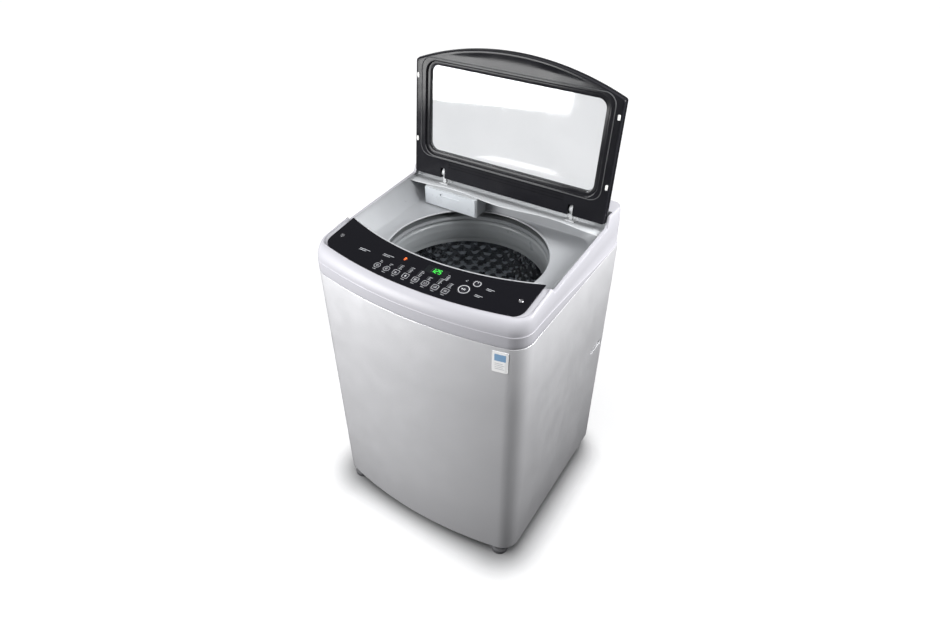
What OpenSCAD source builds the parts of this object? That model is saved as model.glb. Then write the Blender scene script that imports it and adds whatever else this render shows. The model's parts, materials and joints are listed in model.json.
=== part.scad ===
// Top load washing machine with a hinged lid, hung tub and direct drive.
// Millimetres, +Z up. Origin: floor level, centre of the plan. -Y is the front.

/* [Cabinet] */
// Width across the side walls
body_w = 590; // [580:1:600]
// Depth from the front apex to the rear wall
body_d = 552; // [546:1:560]
// How far the front bows out at its middle
front_bulge = 39; // [34:1:44]
// Height of the seam between cabinet and top cover
seam_z = 776; // [774:1:778]
// Gap under the cabinet
foot_gap = 36; // [32:1:36]
// Radius of the front vertical corners
corner_r = 52; // [46:1:56]
// Sheet metal thickness
sheet = 1.2; // [1:0.1:1.5]

/* [Top cover] */
// Height of the panel plane at its front edge
panel_front_z = 840; // [838:1:842]
// Height of the rear ridge
ridge_z = 890; // [888:1:892]
// Wall thickness of the moulded top cover
cover_wall = 3; // [2.5:0.5:3.5]

/* [Lid] */
// Width of the lid
lid_w = 562; // [556:1:564]
// Length of the lid at its side edges
lid_side_l = 300; // [296:1:302]
// Length of the lid at the middle of its curved front
lid_mid_l = 354; // [350:1:355]
// How far the open lid leans back past vertical
lid_lean = 5.7; // [4:0.1:7]

/* [Tub and drum] */
// Inner radius of the outer tub
tub_r = 252; // [250:0.5:253]
// Inner radius of the drum
drum_r = 238; // [236:0.5:239]
// Inner radius of the balance ring
ring_r = 200; // [198:1:202]
// Radius of the pulsator
pulsator_r = 172; // [160:1:180]
// Radius of the inner drive shaft
wash_shaft_r = 9; // [8:0.5:9]
// Outer radius of the hollow spin shaft
spin_shaft_r = 14.95; // [14.95:0.01:14.97]

/* [Controls] */
// Spacing of the keys in the row
key_pitch = 26.7; // [26:0.1:27]
// Size of a square key
key_w = 19; // [18:0.5:20]
// Radius of the start button
start_r = 15.5; // [15:0.5:16]
// Radius of the power button
power_r = 11.5; // [11:0.5:12]

/* [Hidden] */
$fn = 96;
half_w = body_w / 2;
half_d = body_d / 2;
front_r = (half_w * half_w + front_bulge * front_bulge) / (2 * front_bulge);
front_cy = front_r - half_d;
rear_r = 14;
shell_top = seam_z - 1.5;

panel_slope = 0.13;
panel_y = 26 - half_d;
panel_tilt = atan(panel_slope);
panel_t = 3;
panel_proud = 0.6;
key_y = -222;
key_x0 = -100;
start_pos = [120, -199];
power_pos = [137, -171];
display_box = [34, -177, 58, 24];
key_travel_gap = 0.3;

lid_half = lid_w / 2;
lid_sag = lid_mid_l - lid_side_l;
lid_arc_r = (lid_half * lid_half + lid_sag * lid_sag) / (2 * lid_sag);
lid_rear = 16;
lid_under = -16.4;
lid_top = 8;
lid_split = -5;
hinge_y = 190;
hinge_z = 884.6;
bracket_x = 190;
glass_half = 238;
glass_v0 = 54;
glass_v1 = 275;
trim_w = 2.6;
trim_arc_r = lid_arc_r + 3;
trim_arc_cy = trim_arc_r + hinge_y + lid_rear - lid_mid_l - 3;

rail_front_z = 846.5;
rail_rear_z = 862.5;
deck_z = 796;
well_top_z = 851;
shelf_z = 849;
deck_hole_r = 205;

tub_floor = 286;
tub_top = 752;
tub_wall = 3;
rod_x = 240;
rod_y = 212;
cup_z = 262;
spring_z0 = 196;
ring_z0 = 700;
ring_z1 = 766;
drum_floor = 312;
shaft_bore_r = 15;
foot_x = 250;
foot_front_y = -221;
foot_rear_y = 236;
stud_r = 6;
base_inset = 2.6;
drain_x = -150;
drain_y = 150;
outlet_z = 122;
inlet_x = 170;
inlet_z = 846;

// ---------- helpers ----------

function arc(cx, cy, r, a0, a1, n) = [for (i = [0:n]) let (a = a0 + (a1 - a0) * i / n)
    [cx + r * cos(a), cy + r * sin(a)]];

// Plan outline: bowed front, round corners; side and front walls moved in separately.
function plan(side, front, r, rr = rear_r) =
    let (half = half_w - side, big = front_r - front, cx = half - r,
         cy = front_cy - sqrt(pow(big - r, 2) - cx * cx), turn = asin(cx / (big - r)),
         back = half_d - side, rx = half - rr)
    concat(arc(0, front_cy, big, -90 - turn, -90 + turn, 18),
           arc(cx, cy, r, -90 + turn, 0, 8),
           arc(rx, back - rr, rr, 0, 90, 5),
           arc(-rx, back - rr, rr, 90, 180, 5),
           arc(-cx, cy, r, 180, 270 - turn, 8));

module plan_prism(z0, z1, side, front, r) {
    translate([0, 0, z0])
        linear_extrude(z1 - z0)
            polygon(plan(side, front, r));
}

module rounded(w, h, r) {
    hull()
        for (x = [-1, 1], y = [-1, 1])
            translate([x * (w / 2 - r), y * (h / 2 - r)])
                circle(r, $fn = 32);
}

module ring(r0, r1, z0, z1) {
    translate([0, 0, z0])
        difference() {
            cylinder(r = r1, h = z1 - z0);
            translate([0, 0, -1])
                cylinder(r = r0, h = z1 - z0 + 2);
        }
}

module box(x0, x1, y0, y1, z0, z1) {
    translate([x0, y0, z0])
        cube([x1 - x0, y1 - y0, z1 - z0]);
}

module corners(front_y, rear_y, x) {
    for (side = [-1, 1], y = [front_y, rear_y])
        translate([side * x, y, 0])
            children();
}

// Cylinder whose axis lies along X, from x0 to x1.
module rod_x_axis(r, x0, x1) {
    translate([x0, 0, 0])
        rotate([0, 90, 0])
            cylinder(r = r, h = x1 - x0);
}

// Cylinder whose axis lies along Y, from y0 to y1.
module rod_y_axis(r, y0, y1) {
    translate([0, y0, 0])
        rotate([-90, 0, 0])
            cylinder(r = r, h = y1 - y0);
}

// ---------- cabinet ----------

module cabinet_shell() {
    color("silver")
        difference() {
            union() {
                difference() {
                    plan_prism(foot_gap, shell_top, 0, 0, corner_r);
                    plan_prism(foot_gap - 1, shell_top + 1, sheet, sheet, corner_r - sheet);
                    box(24 - half_w, half_w - 24, half_d - 20, half_d + 1, foot_gap - 1, shell_top + 1);
                }
                cabinet_flange(foot_gap, 14);
                cabinet_flange(shell_top - sheet, 10);
                rod_gussets();
            }
            side_recess(0.2);
            corners(-rod_y, rod_y, rod_x)
                translate([0, 0, shell_top - 40])
                    cylinder(r = 5, h = 60);
        }
}

// Turned-in edge of the sheet at the bottom or top, open across the back.
module cabinet_flange(z, width) {
    difference() {
        plan_prism(z, z + sheet, 0.6, 0.6, corner_r - 0.6);
        plan_prism(z - 1, z + 3, width, width, corner_r - width);
        box(24 - half_w, half_w - 24, half_d - 30, half_d + 1, z - 1, z + 3);
    }
}

// Corner plates that carry the hanger rods.
module rod_gussets() {
    intersection() {
        plan_prism(shell_top - 14, shell_top - 11, 0.6, 0.6, corner_r - 0.6);
        box(-half_w, half_w, -half_d, half_d - base_inset, shell_top - 20, shell_top);
        corners(-rod_y - 20, rod_y + 20, rod_x + 10)
            rotate([0, 0, 45])
                translate([-46, -46, shell_top - 20])
                    cube([92, 92, 20]);
    }
}

module side_recess(gap) {
    translate([half_w - 12, 217, 458])
        rotate([90, 0, 90])
            linear_extrude(20)
                rounded(66 + 2 * gap, 16 + 2 * gap, 4);
}

module side_hose_clip() {
    color("silver")
        difference() {
            union() {
                translate([half_w - 10, 217, 458])
                    rotate([90, 0, 90])
                        linear_extrude(9)
                            rounded(66, 16, 4);
                translate([half_w - sheet - 2, 217, 458])
                    rotate([90, 0, 90])
                        linear_extrude(2)
                            rounded(72, 22, 5);
            }
            translate([half_w - 8, 217, 458])
                rotate([90, 0, 90])
                    linear_extrude(10)
                        difference() {
                            rounded(62, 12, 3);
                            square([64, 5], center = true);
                        }
        }
}

module badge_plate() {
    color("white")
        intersection() {
            difference() {
                plan_prism(700, 770, -1.2, -1.2, corner_r + 1.2);
                plan_prism(699, 771, 0, 0, corner_r);
            }
            translate([244, -150, 735])
                rotate([90, 0, 0])
                    linear_extrude(140)
                        rounded(35, 58, 2);
        }
}

module rear_panel() {
    rear = half_d - sheet;
    color("gainsboro")
        difference() {
            union() {
                box(16 - half_w, half_w - 16, rear - sheet, rear, foot_gap + 2, shell_top - 2);
                translate([0, rear - 7, 440])
                    rotate([-90, 0, 0])
                        linear_extrude(7)
                            rounded(420, 460, 30);
                box(drain_x - 48, drain_x + 48, rear - 38, rear, outlet_z - 48, outlet_z + 48);
            }
            translate([0, rear - 7 + sheet, 440])
                rotate([-90, 0, 0])
                    linear_extrude(9)
                        rounded(420 - 2 * sheet, 460 - 2 * sheet, 30 - sheet);
            box(drain_x - 46.5, drain_x + 46.5, rear - 36.5, rear + 1, outlet_z - 46.5, outlet_z + 46.5);
            translate([drain_x, 0, outlet_z])
                rod_y_axis(19.2, rear - 40, rear);
            for (z = [520:14:618])
                box(110, 190, rear - 10, rear + 1, z, z + 5);
        }
}

module drain_outlet() {
    rear = half_d - sheet;
    color("dimgray")
        translate([drain_x, 0, outlet_z])
            difference() {
                union() {
                    rod_y_axis(16, rear - 78, rear);
                    rod_y_axis(26, rear - 36.5, rear - 33.5);
                    rod_y_axis(19, rear - 38, rear - 35);
                    rod_y_axis(17.5, rear - 72, rear - 69);
                }
                rod_y_axis(13, rear - 80, rear + 1);
            }
}

module base_frame() {
    z = foot_gap + 2;
    color("darkgray")
        difference() {
            union() {
                difference() {
                    plan_prism(z, z + 36, base_inset, base_inset, corner_r - base_inset);
                    plan_prism(z + 3, z + 37, base_inset + 3, base_inset + 3, corner_r - base_inset - 3);
                }
                corners(foot_front_y, foot_rear_y, foot_x)
                    translate([0, 0, z])
                        cylinder(r = 17, h = 30);
                box(-214, 214, -204, -200, z, z + 34);
                box(-214, 214, 200, 204, z, z + 34);
                box(-214, -210, -200, 200, z, z + 34);
                box(210, 214, -200, 200, z, z + 34);
            }
            box(-210, 210, -200, 200, z - 1, z + 50);
            corners(foot_front_y, foot_rear_y, foot_x)
                translate([0, 0, z - 1])
                    cylinder(r = stud_r + 0.08, h = 60);
        }
}

module foot(x, y) {
    color("black")
        translate([x, y, 0]) {
            rotate_extrude()
                polygon([[0, 0], [22, 0], [24, 2], [24, 14], [20, 20], [0, 20]]);
            translate([0, 0, 20])
                cylinder(r = 11, h = 7, $fn = 6);
            translate([0, 0, 27])
                cylinder(r = stud_r, h = 52);
        }
}

// ---------- top cover ----------

// One level of the cover's outside, sheared so that it rises to the rear.
module cover_level(z, slope, side, front) {
    multmatrix([[1, 0, 0, 0], [0, 1, 0, 0], [0, slope, 1, z - slope * panel_y]])
        linear_extrude(0.5)
            polygon(plan(side, front, corner_r - side, 26));
}

// Rounded outside of the cover; wall moves it in and down for the inside.
module cover_hull(wall) {
    hull() {
        plan_prism(seam_z - (wall > 0 ? 2 : 0), seam_z + 1, wall, wall, corner_r - wall);
        for (a = [0:18:90])
            cover_level(807.5 + (panel_front_z - wall - 808) * sin(a),
                        0.03 + (panel_slope - 0.03) * sin(a),
                        wall + 11 * (1 - cos(a)), wall + 25 * (1 - cos(a)));
    }
}

// Side view of the cover: panel hump, lid rails and rear ridge.
module cover_side(drop) {
    rail_y = 176;
    outline = concat(
        [[-half_d - 9, seam_z - 5], [half_d + 9, seam_z - 5]],
        arc(half_d - 22, ridge_z - 22, 22 - drop, 0, 90, 8),
        arc(hinge_y + 10, ridge_z - 16, 16 - drop, 90, 170, 6),
        [[rail_y, rail_rear_z - drop], [-103, rail_front_z - drop], [-104, ridge_z - drop],
         [-half_d - 9, ridge_z - drop]]);
    translate([-half_w - 10, 0, 0])
        rotate([90, 0, 90])
            linear_extrude(body_w + 20)
                polygon(outline);
}

// Funnel that the lid closes over, down to the deck round the tub mouth.
module lid_well(wall) {
    rear = 215 + wall;
    top_half = lid_half + 3 + wall;
    hull() {
        translate([0, 34, deck_z - wall])
            linear_extrude(1)
                rounded(500 + 2 * wall, 344 + 2 * wall, 40);
        translate([0, 0, well_top_z])
            linear_extrude(45)
                intersection() {
                    translate([-top_half, -200])
                        square([2 * top_half, 200 + rear]);
                    translate([0, trim_arc_cy])
                        circle(trim_arc_r - 2 + wall, $fn = 180);
                }
    }
}

module inlet_recess(wall) {
    box(inlet_x - 52 - wall, inlet_x + 52 + wall, 242 - wall, half_d + 2,
        inlet_z - 24 - wall, inlet_z + 24 + wall);
}

// Everything above a plane that lies w over the panel plane.
module above_panel(w, h) {
    translate([0, panel_y, panel_front_z])
        rotate([panel_tilt, 0, 0])
            translate([-half_w, -60, w])
                cube([body_w, 260, h]);
}

// Crescent outline of the panel, moved in by an amount; trim_gap leaves room for the trim strip.
module crescent(inset, trim_gap = trim_w) {
    linear_extrude(1200)
        difference() {
            polygon(plan(26 + inset, 26 + inset, 34 - inset));
            translate([0, trim_arc_cy])
                circle(trim_arc_r + trim_gap + inset, $fn = 180);
            translate([-half_w, -99 - inset])
                square([body_w, 500]);
        }
}

// Rear shelf under the lid's hinge, with a wavy front edge.
module rear_shelf() {
    wave = [for (i = [0:24]) let (x = -287 + 574 * i / 24) [x, 160 - 7 * cos(x * 1.25)]];
    translate([0, 0, shelf_z])
        linear_extrude(3)
            polygon(concat(wave, [[287, 217], [-287, 217]]));
}

module top_cover() {
    color("whitesmoke")
        difference() {
            union() {
                difference() {
                    intersection() {
                        cover_hull(0);
                        cover_side(0);
                    }
                    difference() {
                        intersection() {
                            cover_hull(cover_wall);
                            cover_side(cover_wall);
                        }
                        lid_well(cover_wall);
                        inlet_recess(cover_wall);
                        panel_seat();
                    }
                    lid_well(0);
                }
                rear_shelf();
            }
            inlet_recess(0);
            translate([0, 0, deck_z - 10])
                deck_hole();
            intersection() {
                crescent(0, 0);
                above_panel(panel_proud - panel_t, 40);
            }
            intersection() {
                crescent(9);
                above_panel(-24, 40);
            }
            for (x = [-26, 26])
                translate([inlet_x + x, 0, inlet_z])
                    rod_y_axis(14.6, 230, 250);
        }
}

// Thickened skin under the panel that its recess is sunk into.
module panel_seat() {
    intersection() {
        crescent(-3);
        above_panel(-7, 20);
    }
}

module deck_hole() {
    intersection() {
        cylinder(r = deck_hole_r, h = 30);
        translate([-250, -133, 0])
            cube([500, 400, 30]);
    }
}

module control_panel() {
    color([0.11, 0.11, 0.125])
        difference() {
            intersection() {
                crescent(0.2);
                above_panel(panel_proud - panel_t, panel_t);
            }
            for (i = [0:7])
                on_panel(key_x0 + key_pitch * i, key_y)
                    translate([0, 0, -10])
                        linear_extrude(20)
                            key_outline(i, key_travel_gap);
            on_panel(start_pos[0], start_pos[1])
                translate([0, 0, -10])
                    cylinder(r = start_r + key_travel_gap, h = 20);
            on_panel(power_pos[0], power_pos[1])
                translate([0, 0, -10])
                    cylinder(r = power_r + key_travel_gap, h = 20);
            on_panel(display_box[0], display_box[1])
                translate([-display_box[2] / 2, -display_box[3] / 2, -10])
                    cube([display_box[2], display_box[3], 20]);
        }
}

// Puts its child on the panel plane over plan position x, y.
module on_panel(x, y) {
    translate([x, y, panel_front_z + panel_slope * (y - panel_y)])
        rotate([panel_tilt, 0, 0])
            children();
}

module key_outline(i, gap) {
    if (i < 2)
        circle(key_w / 2 + gap);
    else
        rounded(key_w + 2 * gap, key_w + 2 * gap, 4 + gap);
}

module key(i) {
    color([0.14, 0.14, 0.155])
        on_panel(key_x0 + key_pitch * i, key_y) {
            translate([0, 0, -3.2])
                linear_extrude(4.1)
                    key_outline(i, 0);
            translate([0, 0, -4.4])
                linear_extrude(1.2)
                    key_outline(i, 1.6);
            translate([0, 0, -10.4])
                cylinder(r = 3, h = 6);
        }
}

module round_button(pos, r) {
    color([0.14, 0.14, 0.155])
        on_panel(pos[0], pos[1]) {
            translate([0, 0, -3.2])
                cylinder(r = r, h = 4.3);
            translate([0, 0, -4.4])
                cylinder(r = r + 1.4, h = 1.2);
            translate([0, -5, -10.4])
                cylinder(r = 3, h = 6);
        }
}

module start_pause_button() {
    round_button(start_pos, start_r);
}

module power_button() {
    round_button(power_pos, power_r);
}

module panel_trim() {
    color("lightgray")
        intersection() {
            translate([0, trim_arc_cy, 0])
                ring(trim_arc_r + 0.1, trim_arc_r + trim_w, 800, 900, $fn = 180);
            translate([-264, -180, 800])
                cube([528, 81, 100]);
            above_panel(panel_proud - panel_t, panel_t + 0.6);
        }
}

module panel_screw_caps() {
    color([0.16, 0.16, 0.18])
        for (x = [-1, 1])
            on_panel(x * 246, -173)
                translate([0, 0, panel_proud])
                    cylinder(r1 = 5, r2 = 4.4, h = 0.8);
}

module control_board_case() {
    color("white")
        on_panel(21, -196)
            union() {
                difference() {
                    translate([-139, -32, -18])
                        cube([278, 61, 12]);
                    translate([-137, -30, -16])
                        cube([274, 57, 20]);
                }
                for (x = [-132.5, 132.5], y = [-8, 22])
                    translate([x, y, -16.5])
                        cylinder(r = 3, h = 16.5 - panel_t + panel_proud);
            }
}

module control_board() {
    color("darkgreen")
        on_panel(21, -196)
            union() {
                translate([-128, -29.2, -13.6])
                    cube([256, 55.4, 1.6]);
                for (x = [-120, 86])
                    translate([x, -20, -16])
                        cube([30, 30, 2.4]);
            }
}

module display_module() {
    w = display_box[2] - 0.2;
    d = display_box[3] - 0.2;
    color([0.05, 0.05, 0.06])
        on_panel(display_box[0], display_box[1])
            union() {
                translate([-w / 2, -d / 2, -3])
                    cube([w, d, 3.5]);
                translate([-w / 2 - 2, -d / 2 - 1, -5.6])
                    cube([w + 4, d + 1, 3.2]);
            }
}

module hinge_bracket(side) {
    color("lightgray")
        difference() {
            translate([side * bracket_x - 4.5, 0, 0]) {
                translate([0, hinge_y, hinge_z])
                    rod_x_axis(11, 0, 9);
                box(0, 9, hinge_y - 6, hinge_y + 6, shelf_z + 3, hinge_z);
                box(-8, 17, hinge_y - 12, hinge_y + 12, shelf_z + 3, shelf_z + 6);
            }
            translate([side * bracket_x, hinge_y, hinge_z])
                rod_x_axis(5.06, -20, 20);
        }
}

module dispenser_housing() {
    color("lightgray")
        difference() {
            box(-232, -68, 152, 202, deck_z, shelf_z);
            box(-229, -71, 150, 199, deck_z + 3, shelf_z - 3);
        }
}

module detergent_drawer() {
    color("aliceblue")
        difference() {
            union() {
                box(-228.6, -71.4, 150.5, 198.6, deck_z + 3.4, shelf_z - 6);
                box(-230, -70, 146.5, 151.6, deck_z + 3.4, shelf_z - 1);
            }
            box(-225.5, -152, 153.5, 196, deck_z + 6, shelf_z);
            box(-149, -74.5, 153.5, 196, deck_z + 6, shelf_z);
            translate([-150, 146.5, shelf_z - 14])
                rod_x_axis(4, -30, 30);
        }
}

module water_inlet_valve() {
    color("royalblue")
        difference() {
            union() {
                box(inlet_x - 44, inlet_x + 44, 221.4, 239, inlet_z - 18, inlet_z + 16);
                for (x = [-26, 26])
                    translate([inlet_x + x, 0, inlet_z])
                        rod_y_axis(13.22, 238, half_d - 3);
            }
            for (x = [-26, 26])
                translate([inlet_x + x, 0, inlet_z])
                    rod_y_axis(8, 228, half_d + 1);
        }
}

module lid_switch() {
    color("white")
        union() {
            box(272, half_w - cover_wall, 60, 98, 799, 812);
            box(277, 287, 68, 90, 812, 822);
        }
}

// ---------- lid ----------

// Lid frame of reference: hinge axis at the origin, lid flat towards -Y.
module in_lid() {
    translate([0, hinge_y, hinge_z])
        rotate([lid_lean - 90 - 2 * lid_lean, 0, 0])
            children();
}

module lid_outline(inset) {
    r = 16;
    arc_cy = lid_arc_r - lid_mid_l + lid_rear;
    intersection() {
        translate([-lid_half + inset, -lid_mid_l])
            square([lid_w - 2 * inset, lid_mid_l + lid_rear - inset]);
        translate([0, arc_cy])
            circle(lid_arc_r - inset, $fn = 180);
        translate([0, (lid_rear - lid_mid_l) / 2])
            rounded(lid_w - 2 * inset, lid_mid_l + lid_rear + 40 - 2 * inset, r);
    }
}

module lid_window(grow) {
    translate([0, -(glass_v0 + glass_v1) / 2])
        rounded(2 * glass_half + 2 * grow, glass_v1 - glass_v0 + 2 * grow, 22 + grow);
}

module bracket_notch() {
    for (side = [-1, 1])
        box(side * bracket_x - 7, side * bracket_x + 7, -15, lid_rear + 1, -40, 40);
}

module lid_outer_frame() {
    slope = atan(8 / lid_mid_l);
    color([0.12, 0.12, 0.13])
        in_lid()
            difference() {
                translate([0, 0, lid_split])
                    linear_extrude(lid_top - lid_split)
                        lid_outline(0);
                translate([0, 0, lid_split + 2])
                    linear_extrude(40)
                        lid_window(0);
                translate([0, 0, lid_split - 1])
                    linear_extrude(3.2)
                        lid_window(8);
                translate([0, lid_rear, lid_top])
                    rotate([slope, 0, 0])
                        translate([-half_w, -400, 0])
                            cube([body_w, 400, 30]);
                bracket_notch();
                hinge_pin_bore();
            }
}

module lid_inner_frame() {
    color([0.08, 0.08, 0.09])
        in_lid()
            difference() {
                translate([0, 0, lid_under])
                    linear_extrude(lid_split - lid_under)
                        lid_outline(1.5);
                translate([0, 0, lid_under - 1])
                    linear_extrude(40)
                        lid_window(0);
                translate([0, 0, lid_under - 1])
                    linear_extrude(7)
                        lid_window(10);
                bracket_notch();
                hinge_pin_bore();
                for (v = [22, 30, 38])
                    box(-170, 170, -v - 1.5, -v + 1.5, lid_under - 1, lid_under + 2);
            }
}

module hinge_pin_bore() {
    for (side = [-1, 1])
        translate([side * bracket_x, 0, 0])
            rod_x_axis(5, -20, 20);
}

module lid_hinge_pins() {
    color("silver")
        in_lid()
            for (side = [-1, 1])
                translate([side * bracket_x, 0, 0])
                    rod_x_axis(5, -20, 20);
}

module lid_glass() {
    color([0.75, 0.78, 0.8, 0.4])
        in_lid()
            translate([0, 0, lid_split])
                linear_extrude(2.2)
                    lid_window(7.8);
}

module lid_seal() {
    color("lightgray")
        in_lid()
            translate([0, 0, lid_under - 1.6])
                linear_extrude(1.6)
                    difference() {
                        translate([0, -(glass_v0 + glass_v1) / 2 - 2])
                            rounded(524, glass_v1 - glass_v0 + 34, 30);
                        translate([0, -(glass_v0 + glass_v1) / 2 - 2])
                            rounded(519, glass_v1 - glass_v0 + 29, 27.5);
                    }
}

module lid_bumpers() {
    color("white")
        in_lid()
            for (side = [-1, 1], v = [80, 244])
                translate([side * 272, -v, lid_under - 2])
                    cylinder(r1 = 3, r2 = 4, h = 2);
}

// ---------- tub ----------

module outer_tub() {
    r = tub_r + tub_wall;
    color("lightsteelblue")
        difference() {
            union() {
                translate([0, 0, tub_floor])
                    cylinder(r = r, h = tub_top - tub_floor);
                ring(r - 1, r + 6, tub_top - 6, tub_top);
                ring(r - 1, r + 3, tub_floor + 40, tub_floor + 46);
                for (a = [0:30:330])
                    rotate([0, 0, a])
                        box(156, r - 1, -1.5, 1.5, tub_floor - 15, tub_floor + 1);
                ring(154, 158, tub_floor - 16, tub_floor + 1);
                for (side = [-1, 1], end = [-1, 1])
                    suspension_lug(side, end);
            }
            translate([0, 0, tub_floor + 4])
                cylinder(r = tub_r, h = 500);
            translate([0, 0, tub_floor - 30])
                cylinder(r = 42, h = 60);
            corners(-rod_y, rod_y, rod_x)
                translate([0, 0, cup_z - 10])
                    cylinder(r = 16, h = 60);
            translate([drain_x, drain_y, tub_floor - 40])
                cylinder(r = 20, h = 60);
        }
}

module suspension_lug(side, end) {
    turn = atan2(end * rod_y, side * rod_x);
    reach = sqrt(rod_x * rod_x + rod_y * rod_y);
    translate([side * rod_x, end * rod_y, cup_z + 6])
        cylinder(r = 20, h = 24);
    rotate([0, 0, turn])
        box(tub_r + 1, reach - 12, -10, 10, cup_z + 8, cup_z + 28);
}

module suspension_cups() {
    color("white")
        corners(-rod_y, rod_y, rod_x)
            difference() {
                union() {
                    translate([0, 0, cup_z + 6])
                        cylinder(r = 16, h = 27);
                    translate([0, 0, cup_z])
                        cylinder(r = 20, h = 6);
                }
                translate([0, 0, cup_z - 1])
                    cylinder(r = 6, h = 60);
            }
}

module suspension_rods() {
    color("silver")
        corners(-rod_y, rod_y, rod_x) {
            translate([0, 0, spring_z0 - 10])
                cylinder(r = 4, h = shell_top - spring_z0 + 4);
            translate([0, 0, spring_z0 - 4])
                cylinder(r = 15, h = 4);
            translate([0, 0, shell_top - 11])
                cylinder(r1 = 11, r2 = 6, h = 6);
        }
}

// Tube swept round a helix with closed ends.
module coil(r, wire, z0, z1, turns) {
    steps = turns * 14;
    sides = 6;
    points = [for (i = [0:steps], j = [0:sides - 1])
        let (a = 360 * i / 14, b = 360 * j / sides, q = r + wire * cos(b))
        [q * cos(a), q * sin(a), z0 + wire + (z1 - z0 - 2 * wire) * i / steps + wire * sin(b)]];
    walls = [for (i = [0:steps - 1], j = [0:sides - 1]) let (k = (j + 1) % sides)
        [i * sides + j, (i + 1) * sides + j, (i + 1) * sides + k, i * sides + k]];
    polyhedron(points, concat(walls, [[for (j = [0:sides - 1]) j],
        [for (j = [0:sides - 1]) steps * sides + sides - 1 - j]]));
}

module suspension_springs() {
    color("dimgray")
        corners(-rod_y, rod_y, rod_x)
            coil(11, 1.8, spring_z0 + 0.1, cup_z - 0.1, 6);
}

module tub_cover() {
    color("white")
        rotate_extrude()
            polygon([[tub_r + 1, tub_top], [tub_r + tub_wall + 6, tub_top], [tub_r + 8, tub_top + 8],
                     [tub_r - 10, tub_top + 22], [209, tub_top + 24], [204, tub_top + 20],
                     [204, tub_top + 17], [209, tub_top + 20.5], [tub_r - 11, tub_top + 19],
                     [tub_r + 1, tub_top + 6]]);
}

module bearing_housing() {
    color("silver")
        difference() {
            union() {
                translate([0, 0, 214])
                    cylinder(r = 42, h = 78);
                translate([0, 0, 272])
                    cylinder(r = 150, h = tub_floor - 272);
                ring(40, 72, 212, 219);
                for (a = [15:45:330])
                    rotate([0, 0, a])
                        box(40, 146, -2.5, 2.5, 250, 273);
            }
            translate([0, 0, 211])
                cylinder(r = 31, h = 23);
            translate([0, 0, 230])
                cylinder(r = 27, h = 50);
            translate([0, 0, 266])
                cylinder(r = 31, h = 30);
        }
}

module bearing(z) {
    color("lightgray")
        difference() {
            ring(shaft_bore_r, 31, z, z + 16);
            ring(20, 26, z - 1, z + 1);
            ring(20, 26, z + 15, z + 17);
        }
}

module upper_bearing() {
    bearing(266);
}

module lower_bearing() {
    bearing(218);
}

module shaft_seal() {
    color("black")
        difference() {
            ring(shaft_bore_r + 0.03, 31, 283, 292);
            ring(19, 28, 288, 293);
        }
}

module stator() {
    color("chocolate")
        union() {
            ring(46, 74, 190, 212);
            for (a = [0:15:345])
                rotate([0, 0, a]) {
                    box(73, 112, -4, 4, 190, 210);
                    box(111, 118, -8, 8, 190, 210);
                }
        }
}

module drain_valve() {
    color("gray")
        difference() {
            union() {
                translate([drain_x, drain_y, 216])
                    cylinder(r = 20, h = tub_floor + 4 - 216);
                translate([drain_x, drain_y, tub_floor - 6])
                    cylinder(r = 26, h = 6);
                translate([drain_x, drain_y, 236])
                    rod_y_axis(15, 0, 82);
                translate([drain_x, drain_y, 200])
                    cylinder(r = 15, h = 16);
            }
            translate([drain_x, drain_y, 222])
                cylinder(r = 16, h = 90);
            translate([drain_x, drain_y, 236])
                rod_y_axis(12, 0, 90);
        }
}

// ---------- basket ----------

module drum() {
    r = drum_r + 1;
    color("gainsboro")
        difference() {
            union() {
                translate([0, 0, drum_floor])
                    cylinder(r = r, h = ring_z0 - drum_floor);
                for (z = [360, 420, 660])
                    ring(r - 0.5, r + 1.2, z, z + 8);
            }
            translate([0, 0, drum_floor + 2])
                cylinder(r = drum_r, h = 500);
            translate([0, 0, drum_floor - 1])
                cylinder(r = shaft_bore_r + 8, h = 5);
            for (a = [15:30:345], z = [460:50:610])
                rotate([0, 0, a])
                    translate([0, 0, z])
                        rod_x_axis(2.5, drum_r - 4, drum_r + 5);
            for (a = [11:60:311])
                rotate([0, 0, a])
                    translate([200, 0, drum_floor - 1])
                        cylinder(r = 4, h = 5);
        }
}

module balance_ring() {
    outer = drum_r + 5;
    color([0.55, 0.57, 0.6])
        rotate_extrude()
            polygon(concat([[ring_r + 2, ring_z0], [outer, ring_z0]],
                           arc(outer - 8, ring_z1 - 8, 8, 0, 90, 6),
                           arc(ring_r + 10, ring_z1 - 10, 10, 90, 180, 8)));
}

module drum_hub() {
    color("darkgray")
        difference() {
            union() {
                translate([0, 0, 294])
                    cylinder(r = 34, h = drum_floor - 294);
                for (a = [30, 150, 270])
                    rotate([0, 0, a])
                        hull() {
                            box(20, 40, -22, 22, 302, drum_floor);
                            box(200, 222, -12, 12, 304, drum_floor);
                        }
            }
            translate([0, 0, 290])
                cylinder(r = spin_shaft_r, h = 40);
        }
}

module spin_shaft() {
    color("silver")
        ring(wash_shaft_r + 0.05, spin_shaft_r, 186, drum_floor + 3);
}

module lint_filters() {
    color("white")
        for (turn = [0, 180])
            rotate([0, 0, turn])
                difference() {
                    intersection() {
                        ring(drum_r - 16, drum_r, 430, 660);
                        box(100, 300, -42, 42, 400, 700);
                    }
                    for (z = [480:12:636])
                        box(100, drum_r - 4, -32, 32, z, z + 6);
                }
}

// ---------- pulsator and drive ----------

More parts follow.
